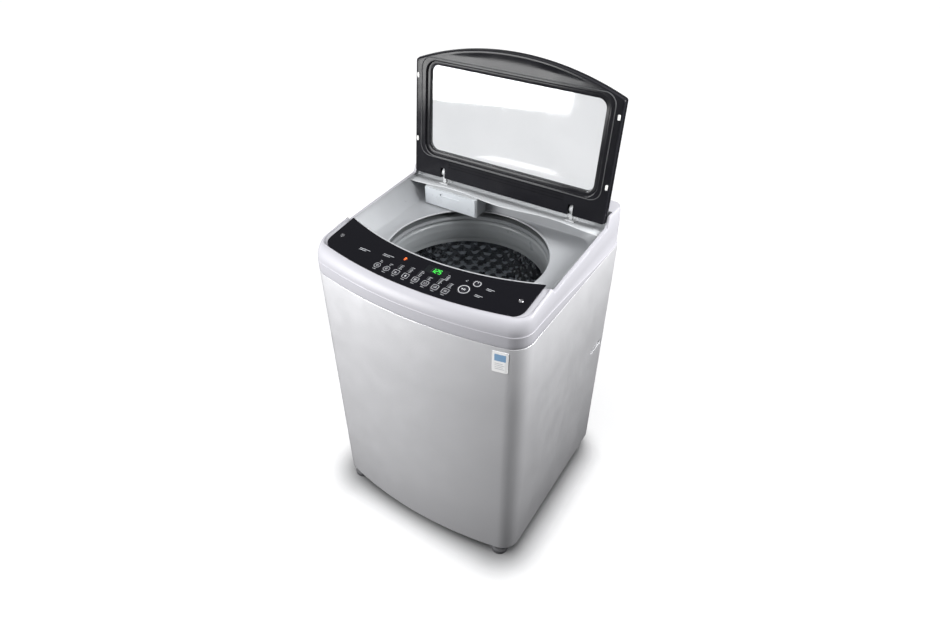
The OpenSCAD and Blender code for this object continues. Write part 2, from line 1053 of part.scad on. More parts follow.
module pulsator() {
    color("lightgray")
        difference() {
            union() {
                translate([0, 0, drum_floor + 4])
                    rotate_extrude()
                        polygon([[0, 0], [pulsator_r - 4, 0], [pulsator_r, 3], [pulsator_r - 3, 8],
                                 [60, 14], [44, 30], [0, 34]]);
                for (a = [0:60:300])
                    rotate([0, 0, a])
                        hull() {
                            translate([52, 0, drum_floor + 14])
                                cylinder(r1 = 16, r2 = 6, h = 26, $fn = 32);
                            translate([pulsator_r - 22, 16, drum_floor + 9])
                                cylinder(r1 = 12, r2 = 6, h = 9, $fn = 32);
                        }
            }
            translate([0, 0, drum_floor])
                cylinder(r = wash_shaft_r, h = 24);
            translate([0, 0, drum_floor])
                cylinder(r = 3, h = 60);
            translate([0, 0, drum_floor + 32])
                cylinder(r = 14, h = 20);
        }
}

module pulsator_bolt() {
    color("silver")
        union() {
            translate([0, 0, drum_floor + 32])
                cylinder(r = 8, h = 5, $fn = 6);
            translate([0, 0, drum_floor + 24])
                cylinder(r = 3, h = 9);
        }
}

module wash_shaft() {
    color("silver")
        translate([0, 0, 160])
            cylinder(r = wash_shaft_r, h = drum_floor + 24 - 160);
}

module rotor() {
    color("darkslategray")
        difference() {
            union() {
                ring(122, 134, 168, 216);
                ring(wash_shaft_r, 124, 168, 172);
                ring(wash_shaft_r, 28, 166, 178);
                ring(20, 27, 177, 183.5);
            }
            for (a = [0:45:315])
                rotate([0, 0, a])
                    translate([80, 0, 160])
                        cylinder(r = 12, h = 20);
            for (a = [0:30:330])
                rotate([0, 0, a])
                    box(19, 28, -2, 2, 179.5, 185);
        }
}

module clutch_coupler() {
    color("ivory")
        union() {
            ring(shaft_bore_r + 0.03, 27, 190, 206);
            ring(26, 33, 196, 200);
        }
}

// ---------- nodes ----------

cabinet_shell();
rear_panel();
base_frame();
top_cover();
control_panel();
panel_trim();
control_board_case();
control_board();
display_module();
panel_screw_caps();
hinge_bracket(-1);  // hinge_bracket_left
hinge_bracket(1);  // hinge_bracket_right
dispenser_housing();
water_inlet_valve();
lid_switch();
badge_plate();
side_hose_clip();
suspension_rods();
suspension_springs();
drain_outlet();
key(0);  // key_1
key(1);  // key_2
key(2);  // key_3
key(3);  // key_4
key(4);  // key_5
key(5);  // key_6
key(6);  // key_7
key(7);  // key_8
start_pause_button();
power_button();
detergent_drawer();
lid_outer_frame();
lid_inner_frame();
lid_glass();
lid_seal();
lid_bumpers();
lid_hinge_pins();
outer_tub();
tub_cover();
bearing_housing();
upper_bearing();
lower_bearing();
shaft_seal();
stator();
drain_valve();
suspension_cups();
drum();
balance_ring();
drum_hub();
spin_shaft();
lint_filters();
pulsator();
pulsator_bolt();
wash_shaft();
rotor();
clutch_coupler();
foot(-foot_x, foot_front_y);  // foot_front_left
foot(foot_x, foot_front_y);  // foot_front_right
foot(-foot_x, foot_rear_y);  // foot_rear_left
foot(foot_x, foot_rear_y);  // foot_rear_right
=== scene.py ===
"""Looks of the top load washing machine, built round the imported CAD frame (metres, +Z up, -Y front)."""
import json
import math

import bmesh
import bpy
from mathutils import Matrix, Vector


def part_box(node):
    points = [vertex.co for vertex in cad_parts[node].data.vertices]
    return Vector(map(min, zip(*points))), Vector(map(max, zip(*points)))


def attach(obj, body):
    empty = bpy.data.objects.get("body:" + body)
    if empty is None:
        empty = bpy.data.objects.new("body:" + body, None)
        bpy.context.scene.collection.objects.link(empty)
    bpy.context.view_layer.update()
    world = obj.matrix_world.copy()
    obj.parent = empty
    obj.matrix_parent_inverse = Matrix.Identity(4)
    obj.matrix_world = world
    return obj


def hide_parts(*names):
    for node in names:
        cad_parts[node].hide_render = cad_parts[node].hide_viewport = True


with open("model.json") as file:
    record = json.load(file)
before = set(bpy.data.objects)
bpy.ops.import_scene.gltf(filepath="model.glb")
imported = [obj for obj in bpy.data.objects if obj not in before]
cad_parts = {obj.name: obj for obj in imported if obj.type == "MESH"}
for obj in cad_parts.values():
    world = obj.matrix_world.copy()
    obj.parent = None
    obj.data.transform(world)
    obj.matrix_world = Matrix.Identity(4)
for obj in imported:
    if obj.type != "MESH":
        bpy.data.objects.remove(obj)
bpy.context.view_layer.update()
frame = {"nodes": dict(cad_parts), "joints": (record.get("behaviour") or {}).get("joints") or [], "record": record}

NODES = frame["nodes"]
MM = 0.001


# ---------- driving sizes, from the frame

shell_lo, shell_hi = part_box("cabinet_shell")
cover_lo, cover_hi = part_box("top_cover")
lid_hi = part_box("lid_outer_frame")[1]
ring_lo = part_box("balance_ring")[0]
drum_lo, drum_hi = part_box("drum")
pulsator_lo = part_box("pulsator")[0]

HALF_W = cover_hi.x
HALF_D = cover_hi.y
BULGE = 39 * MM
CORNER_R = 52 * MM
REAR_R = 14 * MM
SEAM_Z = cover_lo.z
RIDGE_Z = cover_hi.z
SHELL_TOP = shell_hi.z
FOOT_GAP = shell_lo.z
FRONT_R = (HALF_W ** 2 + BULGE ** 2) / (2 * BULGE)
FRONT_CY = FRONT_R - HALF_D

PANEL_SLOPE = 0.13
PANEL_Y = 26 * MM - HALF_D
PANEL_Z = 840 * MM
PANEL_PROUD = 0.6 * MM
PANEL_TILT = math.atan(PANEL_SLOPE)

LID_HALF = lid_hi.x
LID_SIDE_L = 300 * MM
LID_MID_L = 354 * MM
LID_SAG = LID_MID_L - LID_SIDE_L
LID_ARC_R = (LID_HALF ** 2 + LID_SAG ** 2) / (2 * LID_SAG)
LID_REAR = 16 * MM
LID_LEAN = math.radians(5.7)
LID_UNDER = -16.4 * MM
LID_TOP = 8 * MM
LID_SPLIT = -5 * MM
TRIM_ARC_R = LID_ARC_R + 3 * MM

hinge = next(j for j in frame["joints"] if j["name"] == "lid_hinge")
HINGE = Vector(hinge["pos_m"])
TRIM_ARC_CY = TRIM_ARC_R + HINGE.y + LID_REAR - LID_MID_L - 3 * MM
GLASS_HALF = 238 * MM
GLASS_V0 = 54 * MM
GLASS_V1 = 275 * MM


# ---------- materials

def new_material(name):
    mat = bpy.data.materials.new(name)
    mat.use_nodes = True
    return mat, mat.node_tree, mat.node_tree.nodes["Principled BSDF"]


def put(shader, **values):
    for key, value in values.items():
        shader.inputs[key.replace("_", " ")].default_value = value


def noise(tree, scale, detail=3.0, rough=0.5, stretch=(1, 1, 1)):
    coords = tree.nodes.new("ShaderNodeTexCoord")
    mapping = tree.nodes.new("ShaderNodeMapping")
    mapping.inputs["Scale"].default_value = stretch
    tex = tree.nodes.new("ShaderNodeTexNoise")
    put(tex, Scale=scale, Detail=detail, Roughness=rough)
    tree.links.new(coords.outputs["Object"], mapping.inputs["Vector"])
    tree.links.new(mapping.outputs["Vector"], tex.inputs["Vector"])
    return tex


def ramp(tree, source, low, high, start=0.3, end=0.7, interpolation="LINEAR"):
    """Maps start..end of a value to low..high."""
    node = tree.nodes.new("ShaderNodeMapRange")
    node.interpolation_type = interpolation
    put(node, From_Min=start, From_Max=end, To_Min=low, To_Max=high)
    tree.links.new(source, node.inputs["Value"])
    return node.outputs["Result"]


def vary_colour(tree, shader, source, dark, light, socket="Base Color"):
    mix = tree.nodes.new("ShaderNodeMix")
    mix.data_type = "RGBA"
    put(mix, A=(*dark, 1), B=(*light, 1))
    tree.links.new(source, mix.inputs["Factor"])
    tree.links.new(mix.outputs["Result"], shader.inputs[socket])


def vary_roughness(tree, shader, tex, low, high):
    tree.links.new(ramp(tree, tex.outputs["Fac"], low, high), shader.inputs["Roughness"])


def shades(colour, spread):
    """A darker and a lighter version of a colour."""
    return [tuple(min(1.0, c * share) for c in colour) for share in (1 - spread, 1 + spread)]


def bump(tree, shader, source, strength, distance):
    node = tree.nodes.new("ShaderNodeBump")
    put(node, Strength=strength, Distance=distance)
    tree.links.new(source, node.inputs["Height"])
    tree.links.new(node.outputs["Normal"], shader.inputs["Normal"])


def plastic(name, colour, roughness, spread=0.05, grain=900, grain_depth=0.00004, coat=0.0, metal=0.0,
            wander=0.2, shine=0.5):
    """Moulded plastic or paint: faint mottling, roughness that wanders, fine texture."""
    mat, tree, shader = new_material(name)
    put(shader, Metallic=metal, Coat_Weight=coat, Coat_Roughness=0.06, Specular_IOR_Level=shine)
    cloud = noise(tree, 9.0, 4.0)
    vary_colour(tree, shader, ramp(tree, cloud.outputs["Fac"], 0, 1), *shades(colour, spread))
    smear = noise(tree, 26.0, 5.0, 0.6)
    vary_roughness(tree, shader, smear, roughness * (1 - wander), roughness * (1 + wander))
    fine = noise(tree, grain, 2.0)
    bump(tree, shader, fine.outputs["Fac"], 0.35, grain_depth)
    return mat


def metallic_paint(name, colour):
    """Silver car-type paint: tiny bright flakes under a clear coat, with slight orange peel."""
    mat, tree, shader = new_material(name)
    put(shader, Metallic=0.4, Coat_Weight=0.4, Coat_Roughness=0.08)
    flake = noise(tree, 2600.0, 1.0)
    vary_colour(tree, shader, ramp(tree, flake.outputs["Fac"], 0, 1), *shades(colour, 0.1))
    smear = noise(tree, 18.0, 4.0, 0.6)
    vary_roughness(tree, shader, smear, 0.30, 0.42)
    peel = noise(tree, 240.0, 2.0)
    bump(tree, shader, peel.outputs["Fac"], 0.25, 0.00005)
    return mat


def gloss_black(name, colour=(0.003, 0.003, 0.0045), roughness=0.07):
    """Piano-black plastic with faint polishing haze and dust."""
    mat, tree, shader = new_material(name)
    put(shader, IOR=1.45, Specular_IOR_Level=0.2)
    haze = noise(tree, 14.0, 6.0, 0.65)
    vary_roughness(tree, shader, haze, roughness, roughness * 2.6)
    dust = noise(tree, 700.0, 2.0)
    vary_colour(tree, shader, ramp(tree, dust.outputs["Fac"], 0, 1), colour,
                tuple(c * 1.5 + 0.001 for c in colour))
    return mat


def steel(name, colour, roughness=0.28, stretch=(1, 1, 40), scale=60.0, depth=0.00003):
    """Metal with fine drawn or turned lines."""
    mat, tree, shader = new_material(name)
    put(shader, Metallic=1.0)
    lines = noise(tree, scale, 4.0, 0.6, stretch)
    dark = tuple(c * 0.82 for c in colour)
    vary_colour(tree, shader, ramp(tree, lines.outputs["Fac"], 0, 1), dark, colour)
    vary_roughness(tree, shader, lines, roughness * 0.75, roughness * 1.35)
    bump(tree, shader, lines.outputs["Fac"], 0.3, depth)
    return mat


def embossed_steel(name):
    """Stainless drum sheet: brushed, with raised cells that sparkle, and small drain holes painted near-black as
    painted shade.
    """
    mat, tree, shader = new_material(name)
    put(shader, Metallic=1.0)
    coords = tree.nodes.new("ShaderNodeTexCoord")
    cells = tree.nodes.new("ShaderNodeTexVoronoi")
    cells.feature = "F1"
    put(cells, Scale=46.0, Randomness=0.35)
    tree.links.new(coords.outputs["Object"], cells.inputs["Vector"])
    hole = tree.nodes.new("ShaderNodeMath")
    hole.operation = "LESS_THAN"
    hole.inputs[1].default_value = 0.13
    tree.links.new(cells.outputs["Distance"], hole.inputs[0])
    # Painted shade: the drain holes are near-black spots, standing in for the dark seen through them.
    vary_colour(tree, shader, hole.outputs["Value"], (0.36, 0.37, 0.385), (0.012, 0.012, 0.014))
    brushed = noise(tree, 90.0, 4.0, 0.6, (1, 1, 12))
    vary_roughness(tree, shader, brushed, 0.09, 0.22)
    bump(tree, shader, cells.outputs["Distance"], 0.9, 0.0022)
    return mat


def glass(name):
    """Lightly tinted tempered glass with soft smears."""
    mat, tree, shader = new_material(name)
    put(shader, Transmission_Weight=0.93, IOR=1.45)
    smear = noise(tree, 7.0, 5.0, 0.6)
    vary_roughness(tree, shader, smear, 0.015, 0.07)
    patches = ramp(tree, smear.outputs["Fac"], 0, 1)
    vary_colour(tree, shader, patches, (0.74, 0.752, 0.765), (0.79, 0.80, 0.812))
    return mat


def glowing(name, colour, power):
    mat, tree, shader = new_material(name)
    put(shader, Base_Color=(*colour, 1), Emission_Strength=power, Roughness=0.4)
    flicker = noise(tree, 300.0, 1.0)
    vary_colour(tree, shader, flicker.outputs["Fac"], [c * 0.85 for c in colour], colour, "Emission Color")
    return mat


def print_ink(name, colour):
    return plastic(name, colour, 0.45, 0.04, 1500, 0.00001)


FINISHES = {
    metallic_paint: {"body_silver": ((0.70, 0.70, 0.72),)},
    plastic: {
        "cover_pearl": ((0.385, 0.382, 0.41), 0.40, 0.004, 900, 0.00001, 0.0, 0.0, 0.04, 0.3),
        "trim_grey": ((0.60, 0.61, 0.63), 0.28, 0.03, 900, 0.00001, 0.2, 0.5),
        # Darker and bluer than the cover: partly the well's own grey plastic, partly painted shade for the
        # recessed well.
        "well_grey": ((0.36, 0.37, 0.385), 0.34, 0.04, 420, 0.00004),
        "bracket_grey": ((0.55, 0.56, 0.57), 0.42, 0.04),
        "dispenser_grey": ((0.50, 0.515, 0.53), 0.38, 0.04),
        "drawer_grey": ((0.60, 0.63, 0.66), 0.30, 0.03),
        "ring_grey": ((0.22, 0.232, 0.24), 0.33, 0.05, 500, 0.00005),
        "tub_cover_grey": ((0.20, 0.21, 0.22), 0.36, 0.05),
        "tub_blue": ((0.46, 0.53, 0.57), 0.45, 0.05),
        "base_grey": ((0.10, 0.10, 0.105), 0.55, 0.08, 600, 0.0001),
        "rear_sheet": ((0.50, 0.51, 0.52), 0.42, 0.06, 200, 0.00006, 0.0, 0.7),
        "valve_blue": ((0.05, 0.13, 0.34), 0.42, 0.06),
        "valve_grey": ((0.25, 0.26, 0.27), 0.5, 0.06),
        "outlet_grey": ((0.10, 0.105, 0.11), 0.5, 0.06),
        "case_white": ((0.72, 0.72, 0.70), 0.5, 0.04),
        "switch_white": ((0.78, 0.78, 0.76), 0.4, 0.04),
        "cup_white": ((0.74, 0.74, 0.72), 0.45, 0.05),
        "filter_white": ((0.55, 0.57, 0.58), 0.4, 0.05),
        "badge_white": ((0.86, 0.86, 0.86), 0.22, 0.01, 900, 0.00001, 0.4),
        "clip_silver": ((0.52, 0.525, 0.54), 0.34, 0.04, 600, 0.00002, 0.3, 0.3),
        "bumper_white": ((0.80, 0.80, 0.78), 0.5, 0.03),
        "seal_grey": ((0.055, 0.057, 0.06), 0.5, 0.05),
        "seal_black": ((0.02, 0.02, 0.02), 0.6, 0.1),
        "foot_black": ((0.10, 0.10, 0.105), 0.42, 0.08, 500, 0.0001),
        "stator_copper": ((0.40, 0.16, 0.07), 0.38, 0.15, 1200, 0.0003, 0.0, 0.6),
        "clutch_ivory": ((0.66, 0.60, 0.45), 0.45, 0.05),
        "board_green": ((0.02, 0.14, 0.05), 0.3, 0.15, 120, 0.0002, 0.4),
        "pulsator_grey": ((0.46, 0.50, 0.53), 0.26, 0.04, 600, 0.00003, 0.3),
        # Painted shade: near-black standing in for the dark inside gaps between parts, such as the seam under the
        # cover.
        "dark_gap": ((0.012, 0.012, 0.013), 0.6, 0.1),
    },
    gloss_black: {
        "panel_black": (),
        "lid_black": ((0.009, 0.009, 0.011), 0.10),
        "key_black": ((0.010, 0.010, 0.013), 0.14),
        "display_dark": ((0.006, 0.007, 0.008), 0.04),
        "cap_black": ((0.022, 0.022, 0.026), 0.16),
    },
    steel: {
        "rotor_steel": ((0.12, 0.125, 0.13), 0.4),
        "rod_steel": ((0.55, 0.55, 0.55), 0.3),
        "spring_steel": ((0.24, 0.25, 0.26), 0.35),
        "pin_steel": ((0.62, 0.62, 0.63), 0.2, (40, 1, 1)),
        "bearing_steel": ((0.55, 0.55, 0.57), 0.22),
        "shaft_steel": ((0.55, 0.55, 0.56), 0.2),
        "housing_alu": ((0.56, 0.57, 0.58), 0.45, (1, 1, 1), 220.0, 0.0002),
        "hub_alu": ((0.56, 0.57, 0.58), 0.42, (1, 1, 1), 220.0, 0.0002),
        "cap_chrome": ((0.55, 0.55, 0.57), 0.14, (1, 1, 1), 300.0, 0.00001),
    },
    embossed_steel: {"drum_steel": ()},
    glass: {"lid_glass": ()},
    print_ink: {
        "ink_light": ((0.42, 0.43, 0.45),),
        "ink_dim": ((0.16, 0.165, 0.18),),
        "ink_key": ((0.50, 0.51, 0.53),),
        "ink_bright": ((0.62, 0.63, 0.65),),
        "ink_off": ((0.012, 0.03, 0.014),),
        "badge_blue": ((0.20, 0.34, 0.52),),
    },
    glowing: {
        "glow_green": ((0.05, 0.80, 0.07), 0.95),
        "glow_orange": ((0.90, 0.16, 0.03), 0.8),
    },
}
M = {name: make(name, *values) for make, rows in FINISHES.items() for name, values in rows.items()}


# ---------- mesh helpers

def smooth_by_angle(obj, degrees=30):
    for poly in obj.data.polygons:
        poly.use_smooth = True
    obj.data.set_sharp_from_angle(angle=math.radians(degrees))


def add_object(name, data):
    obj = bpy.data.objects.new(name, data)
    bpy.context.scene.collection.objects.link(obj)
    return obj


def mesh_object(name, verts, faces, materials, degrees=30):
    mesh = bpy.data.meshes.new(name)
    mesh.from_pydata([tuple(v) for v in verts], [], faces)
    mesh.validate()
    obj = add_object(name, mesh)
    for key in materials:
        mesh.materials.append(M[key])
    smooth_by_angle(obj, degrees)
    return obj


def bevel(obj, width, segments=2, degrees=30):
    mod = obj.modifiers.new("edge", "BEVEL")
    mod.width = width
    mod.segments = segments
    mod.limit_method = "ANGLE"
    mod.angle_limit = math.radians(degrees)
    mod.harden_normals = True


def loft(name, rings, materials, closed=True, close_ends=False, slot_of=None, degrees=30):
    """Skin through rings of equal length. slot_of(ring index, point index) picks the material."""
    count = len(rings[0])
    verts = [p for ring in rings for p in ring]
    faces = []
    slots = []
    span = count if closed else count - 1
    for k in range(len(rings) - 1):
        for i in range(span):
            j = (i + 1) % count
            faces.append((k * count + i, k * count + j, (k + 1) * count + j, (k + 1) * count + i))
            slots.append(slot_of(k, i) if slot_of else 0)
    if close_ends:
        faces.append(tuple(reversed(range(count))))
        slots.append(0)
        last = (len(rings) - 1) * count
        faces.append(tuple(last + i for i in range(count)))
        slots.append(slots[-2])
    obj = mesh_object(name, verts, faces, materials, degrees)
    for poly, index in zip(obj.data.polygons, slots):
        poly.material_index = index
    return obj


def arc(cx, cy, r, a0, a1, n):
    return [(cx + r * math.cos(a0 + (a1 - a0) * i / n), cy + r * math.sin(a0 + (a1 - a0) * i / n))
            for i in range(n + 1)]


def plan(side, front, r, rear_r=REAR_R, fine=1):
    """Plan outline, counter-clockwise: bowed front, round corners."""
    half = HALF_W - side
    big = FRONT_R - front
    cx = half - r
    cy = FRONT_CY - math.sqrt((big - r) ** 2 - cx ** 2)
    turn = math.asin(cx / (big - r))
    back = HALF_D - side
    rx = half - rear_r
    q = math.pi / 2
    front = arc(0, FRONT_CY, big, -q - turn, -q + turn, 60 * fine)
    right = arc(cx, cy, r, -q + turn, 0, 14 * fine)
    rear_right = arc(rx, back - rear_r, rear_r, 0, q, 8 * fine)
    rear_left = arc(-rx, back - rear_r, rear_r, q, 2 * q, 8 * fine)
    left = arc(-cx, cy, r, 2 * q, 3 * q - turn, 14 * fine)
    return front + right[1:] + rear_right + rear_left + left[:-1]


def rounded_rect(w, h, r, n=8, cx=0.0, cy=0.0):
    q = math.pi / 2
    x = w / 2 - r
    y = h / 2 - r
    return (arc(cx + x, cy - y, r, -q, 0, n) + arc(cx + x, cy + y, r, 0, q, n)
            + arc(cx - x, cy + y, r, q, 2 * q, n) + arc(cx - x, cy - y, r, 2 * q, 3 * q, n))


def smoothstep(x, a, b):
    t = min(1.0, max(0.0, (x - a) / (b - a)))
    return t * t * (3 - 2 * t)


def inside_ring(points, centre, angles):
    """The closed outline's points along rays from the centre, one for each angle."""
    result = []
    cx, cy = centre
    polar = sorted((math.atan2(y - cy, x - cx) % math.tau, x - cx, y - cy) for x, y in points)
    polar = [(polar[-1][0] - math.tau, *polar[-1][1:])] + polar + [(polar[0][0] + math.tau, *polar[0][1:])]
    k = 0
    for angle in angles:
        while polar[k + 1][0] < angle:
            k += 1
        _, x0, y0 = polar[k]
        _, x1, y1 = polar[k + 1]
        dx, dy = math.cos(angle), math.sin(angle)
        den = dx * (y1 - y0) - dy * (x1 - x0)
        reach = (x0 * (y1 - y0) - y0 * (x1 - x0)) / den if abs(den) > 1e-15 else math.hypot(x0, y0)
        result.append((cx + dx * reach, cy + dy * reach))
    return result


def circle(radius, height, steps):
    """Level ring of points; the radius or height may be a function of the point's index or angle."""
    result = []
    for i in range(steps):
        a = math.tau * i / steps
        r = radius(i) if callable(radius) else radius
        z = height(r, a) if callable(height) else height
        result.append((r * math.cos(a), r * math.sin(a), z))
    return result


def bake(obj):
    """Applies an object's modifiers to its mesh."""
    graph = bpy.context.evaluated_depsgraph_get()
    mesh = bpy.data.meshes.new_from_object(obj.evaluated_get(graph), depsgraph=graph)
    old = obj.data
    obj.modifiers.clear()
    obj.data = mesh
    bpy.data.meshes.remove(old)


def prism(name, outline, z0, z1, matrix=Matrix(), materials=("dark_gap",)):
    """Solid over an outline between two heights, either of which may be a function, placed by a matrix."""
    n = len(outline)
    verts = [matrix @ Vector((x, y, z(x, y) if callable(z) else z)) for z in (z0, z1) for x, y in outline]
    faces = [(i, (i + 1) % n, n + (i + 1) % n, n + i) for i in range(n)]
    faces += [tuple(reversed(range(n))), tuple(range(n, 2 * n))]
    return mesh_object(name, verts, faces, materials)


def cut(obj, cutters, degrees=30):
    """Takes the cutters out of obj and removes them."""
    for cutter in cutters:
        mod = obj.modifiers.new("cut", "BOOLEAN")
        mod.operation = "DIFFERENCE"
        mod.solver = "EXACT"
        mod.object = cutter
    bpy.context.view_layer.update()
    bake(obj)
    for cutter in cutters:
        bpy.data.objects.remove(cutter)
    smooth_by_angle(obj, degrees)


def join(name, objects):
    """Joins pieces into one mesh object."""
    mesh = bpy.data.meshes.new(name)
    build = bmesh.new()
    slots = []
    for obj in objects:
        first = len(build.faces)
        build.from_mesh(obj.data)
        build.faces.ensure_lookup_table()
        names = [m.name for m in obj.data.materials]
        for key in names:
            if key not in slots:
                slots.append(key)
        for face in build.faces[first:]:
            face.material_index = slots.index(names[face.material_index])
    build.to_mesh(mesh)
    build.free()
    for key in slots:
        mesh.materials.append(bpy.data.materials[key])
    joined = add_object(name, mesh)
    for obj in objects:
        bpy.data.objects.remove(obj)
    smooth_by_angle(joined)
    return joined


def piece(obj, body, replaces=()):
    """Attaches a finished piece to its body, and hides the CAD parts it replaces."""
    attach(obj, body)
    if replaces:
        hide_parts(*replaces)
    return obj


# ---------- camera, light and floor

def make_camera():
    """Eye height and distance of a person who stands to the front right and looks down."""
    data = bpy.data.cameras.new("camera")
    data.lens = 24.42
    data.sensor_width = 36.0
    camera = add_object("camera", data)
    yaw = math.radians(32.41)
    pitch = math.radians(37.98)
    look = Vector((-math.sin(yaw) * math.cos(pitch), math.cos(yaw) * math.cos(pitch), -math.sin(pitch)))
    camera.location = (0.7264, -1.1294, 1.6580)
    camera.rotation_mode = "QUATERNION"
    camera.rotation_quaternion = look.to_track_quat("-Z", "Y")
    bpy.context.scene.camera = camera
    bpy.context.scene.view_settings.view_transform = "Standard"


def area_light(name, at, target, size, power):
    data = bpy.data.lights.new(name, "AREA")
    data.shape = "RECTANGLE"
    data.size, data.size_y = size
    data.energy = power
    light = add_object(name, data)
    light.location = at
    light.rotation_mode = "QUATERNION"
    light.rotation_quaternion = (Vector(target) - Vector(at)).to_track_quat("-Z", "Y")
    return light


def make_floor():
    """White sweep: a wide pale floor that curves up far behind, and darkens close under the machine in a painted
    contact shadow.
    """
    count = 96
    sweep = [(9, 0), (10.5, 0.3), (11.6, 1.2), (12, 2.6), (12, 9)]
    turns = [math.tau * k / count for k in range(count)]
    verts = [(r * math.cos(a), r * math.sin(a), z) for r, z in sweep for a in turns]
    faces = [tuple(range(count))]
    for row in range(len(sweep) - 1):
        for k in range(count):
            a = row * count + k
            b = row * count + (k + 1) % count
            faces.append((a, a + count, b + count, b))
    floor = mesh_object("floor", verts, faces, [], 60)
    mat, tree, shader = new_material("floor_white")
    put(shader, Base_Color=(0.60, 0.60, 0.605, 1), Specular_IOR_Level=0.2, Emission_Color=(1, 1, 1, 1))
    last = tree.nodes.new("ShaderNodeTexCoord").outputs["Object"]
    for operation, value in (("ABSOLUTE", None), ("SUBTRACT", (0.23, 0.19, 0)), ("MAXIMUM", (0, 0, 0)),
                             ("LENGTH", None)):
        step = tree.nodes.new("ShaderNodeVectorMath")
        step.operation = operation
        tree.links.new(last, step.inputs[0])
        if value:
            step.inputs[1].default_value = value
        last = step.outputs["Value" if operation == "LENGTH" else "Vector"]
    # Painted shadow: the floor's glow is zero within a rounded box round the machine's footprint and rises outside
    # it, so the floor looks shaded under the machine.
    glow = ramp(tree, last, 0.0, 0.62, 0.05, 0.16, "SMOOTHSTEP")
    tree.links.new(glow, shader.inputs["Emission Strength"])
    cloud = noise(tree, 0.8, 2.0)
    vary_roughness(tree, shader, cloud, 0.22, 0.27)
    floor.data.materials.append(mat)
    floor.visible_diffuse = False
    floor.visible_glossy = False
    floor.visible_shadow = False
    return floor


def make_sky():
    """White sky, brightest overhead."""
    world = bpy.data.worlds.new("studio")
    bpy.context.scene.world = world
    world.use_nodes = True
    sky = world.node_tree
    split = sky.nodes.new("ShaderNodeSeparateXYZ")
    sky.links.new(sky.nodes.new("ShaderNodeTexCoord").outputs["Generated"], split.inputs["Vector"])
    shade = ramp(sky, split.outputs["Z"], 0.0, 0.38, -0.6, 1.0)
    sky.links.new(shade, sky.nodes["Background"].inputs["Strength"])
    sky.nodes["Background"].inputs["Color"].default_value = (0.97, 0.98, 1.0, 1)


def make_lights(floor):
    """Soft overhead light, and two lamps that leave the floor alone."""
    sun = bpy.data.lights.new("overhead", "SUN")
    sun.energy = 1.45
    sun.angle = math.radians(60)
    overhead = add_object("overhead", sun)
    overhead.rotation_euler = (math.radians(5), math.radians(-8), 0)
    unlit = bpy.data.collections.new("unlit_by_lamps")
    unlit.objects.link(floor)
    unlit.collection_objects[0].light_linking.link_state = "EXCLUDE"
    key = area_light("key", (-0.95, -1.40, 1.16), (-0.12, -0.2, 0.70), (0.9, 0.9), 44)
    side = area_light("side", (1.25, 0.35, 1.50), (0.3, 0.1, 0.75), (0.6, 0.9), 39)
    for lamp in (key, side):
        lamp.light_linking.receiver_collection = unlit


make_camera()
make_sky()
make_lights(make_floor())


# ---------- cabinet

def cabinet_skin():
    """Painted sheet wrap with hemmed edges, open at the back."""
    def path(inset):
        outline = plan(inset, inset, CORNER_R - inset, REAR_R - min(inset, 12 * MM), 2)
        rear = [i for i, (x, y) in enumerate(outline) if y > HALF_D - inset - 1e-6]
        right = [i for i in rear if outline[i][0] > 0][-1]
        flange = HALF_W - 24 * MM
        back = outline[right][1]
        return [(-flange, back)] + outline[right + 1:] + outline[:right + 1] + [(flange, back)]
    levels = [(13, 1.6), (13, 0.2), (2.4, 0.0), (0.8, 0.5), (0.2, 1.4), (0, 2.8)]
    rings = [[(x, y, FOOT_GAP + z * MM) for x, y in path(i * MM)] for i, z in levels]
    for share in (0.25, 0.5, 0.75):
        rings.append([(x, y, FOOT_GAP + share * (SHELL_TOP - FOOT_GAP)) for x, y in path(0)])
    levels = [(0, 1.0), (0.1, 0.6), (0.35, 0.15), (0.9, 0.0), (9, 0.1), (9, 1.4), (3.0, 1.4), (1.4, 4.0)]
    rings += [[(x, y, SHELL_TOP - z * MM) for x, y in path(i * MM)] for i, z in levels]
    rings += [[(x, y, FOOT_GAP + 4 * MM) for x, y in path(1.4 * MM)]]
    obj = loft("cabinet_skin", rings, ["body_silver"], closed=False, degrees=50)
    lo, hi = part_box("side_hose_clip")
    turn = Matrix.Translation((HALF_W, (lo.y + hi.y) / 2, (lo.z + hi.z) / 2)) @ Matrix(
        ((0, 0, 1, 0), (1, 0, 0, 0), (0, 1, 0, 0), (0, 0, 0, 1)))
    cut(obj, [prism("clip_hole", rounded_rect(66.6 * MM, 16.6 * MM, 4 * MM), -9 * MM, 9 * MM, turn)], 50)
    return piece(obj, "cabinet", ["cabinet_shell"])


def badge():
    """Print on the badge plate: a plain band over four rule lines."""
    lo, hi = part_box("badge_plate")
    steps = 10
    lift = 1.35 * MM

    def on_front(x):
        return min((abs(px - x), py) for px, py in plan(0, 0, CORNER_R, REAR_R, 8) if py < 0)[1]

    def strip(name, left, right, z0, z1, key):
        x0 = lo.x + left * MM
        x1 = hi.x - right * MM
        across = [x0 + (x1 - x0) * i / steps for i in range(steps + 1)]
        rows = [[(x, on_front(x) - lift, z) for x in across] for z in (z0, z1)]
        return loft(name, rows, [key], closed=False)

    strips = []
    for k in range(4):
        z = lo.z + (9 + 5 * k) * MM
        strips.append(strip(f"rule_{k}", 6, 8 + 3 * (k % 2), z, z + 1.4 * MM, "ink_light"))
    strips.append(strip("band", 5, 5, hi.z - 26 * MM, hi.z - 7 * MM, "badge_blue"))
    return piece(join("badge_print", strips), "cabinet")


# ---------- top cover

def soft_min(a, b, k):
    low = min(a, b)
    return low - k * math.log(math.exp((low - a) / k) + math.exp((low - b) / k))


def panel_plane(y):
    return PANEL_Z + PANEL_SLOPE * (y - PANEL_Y)


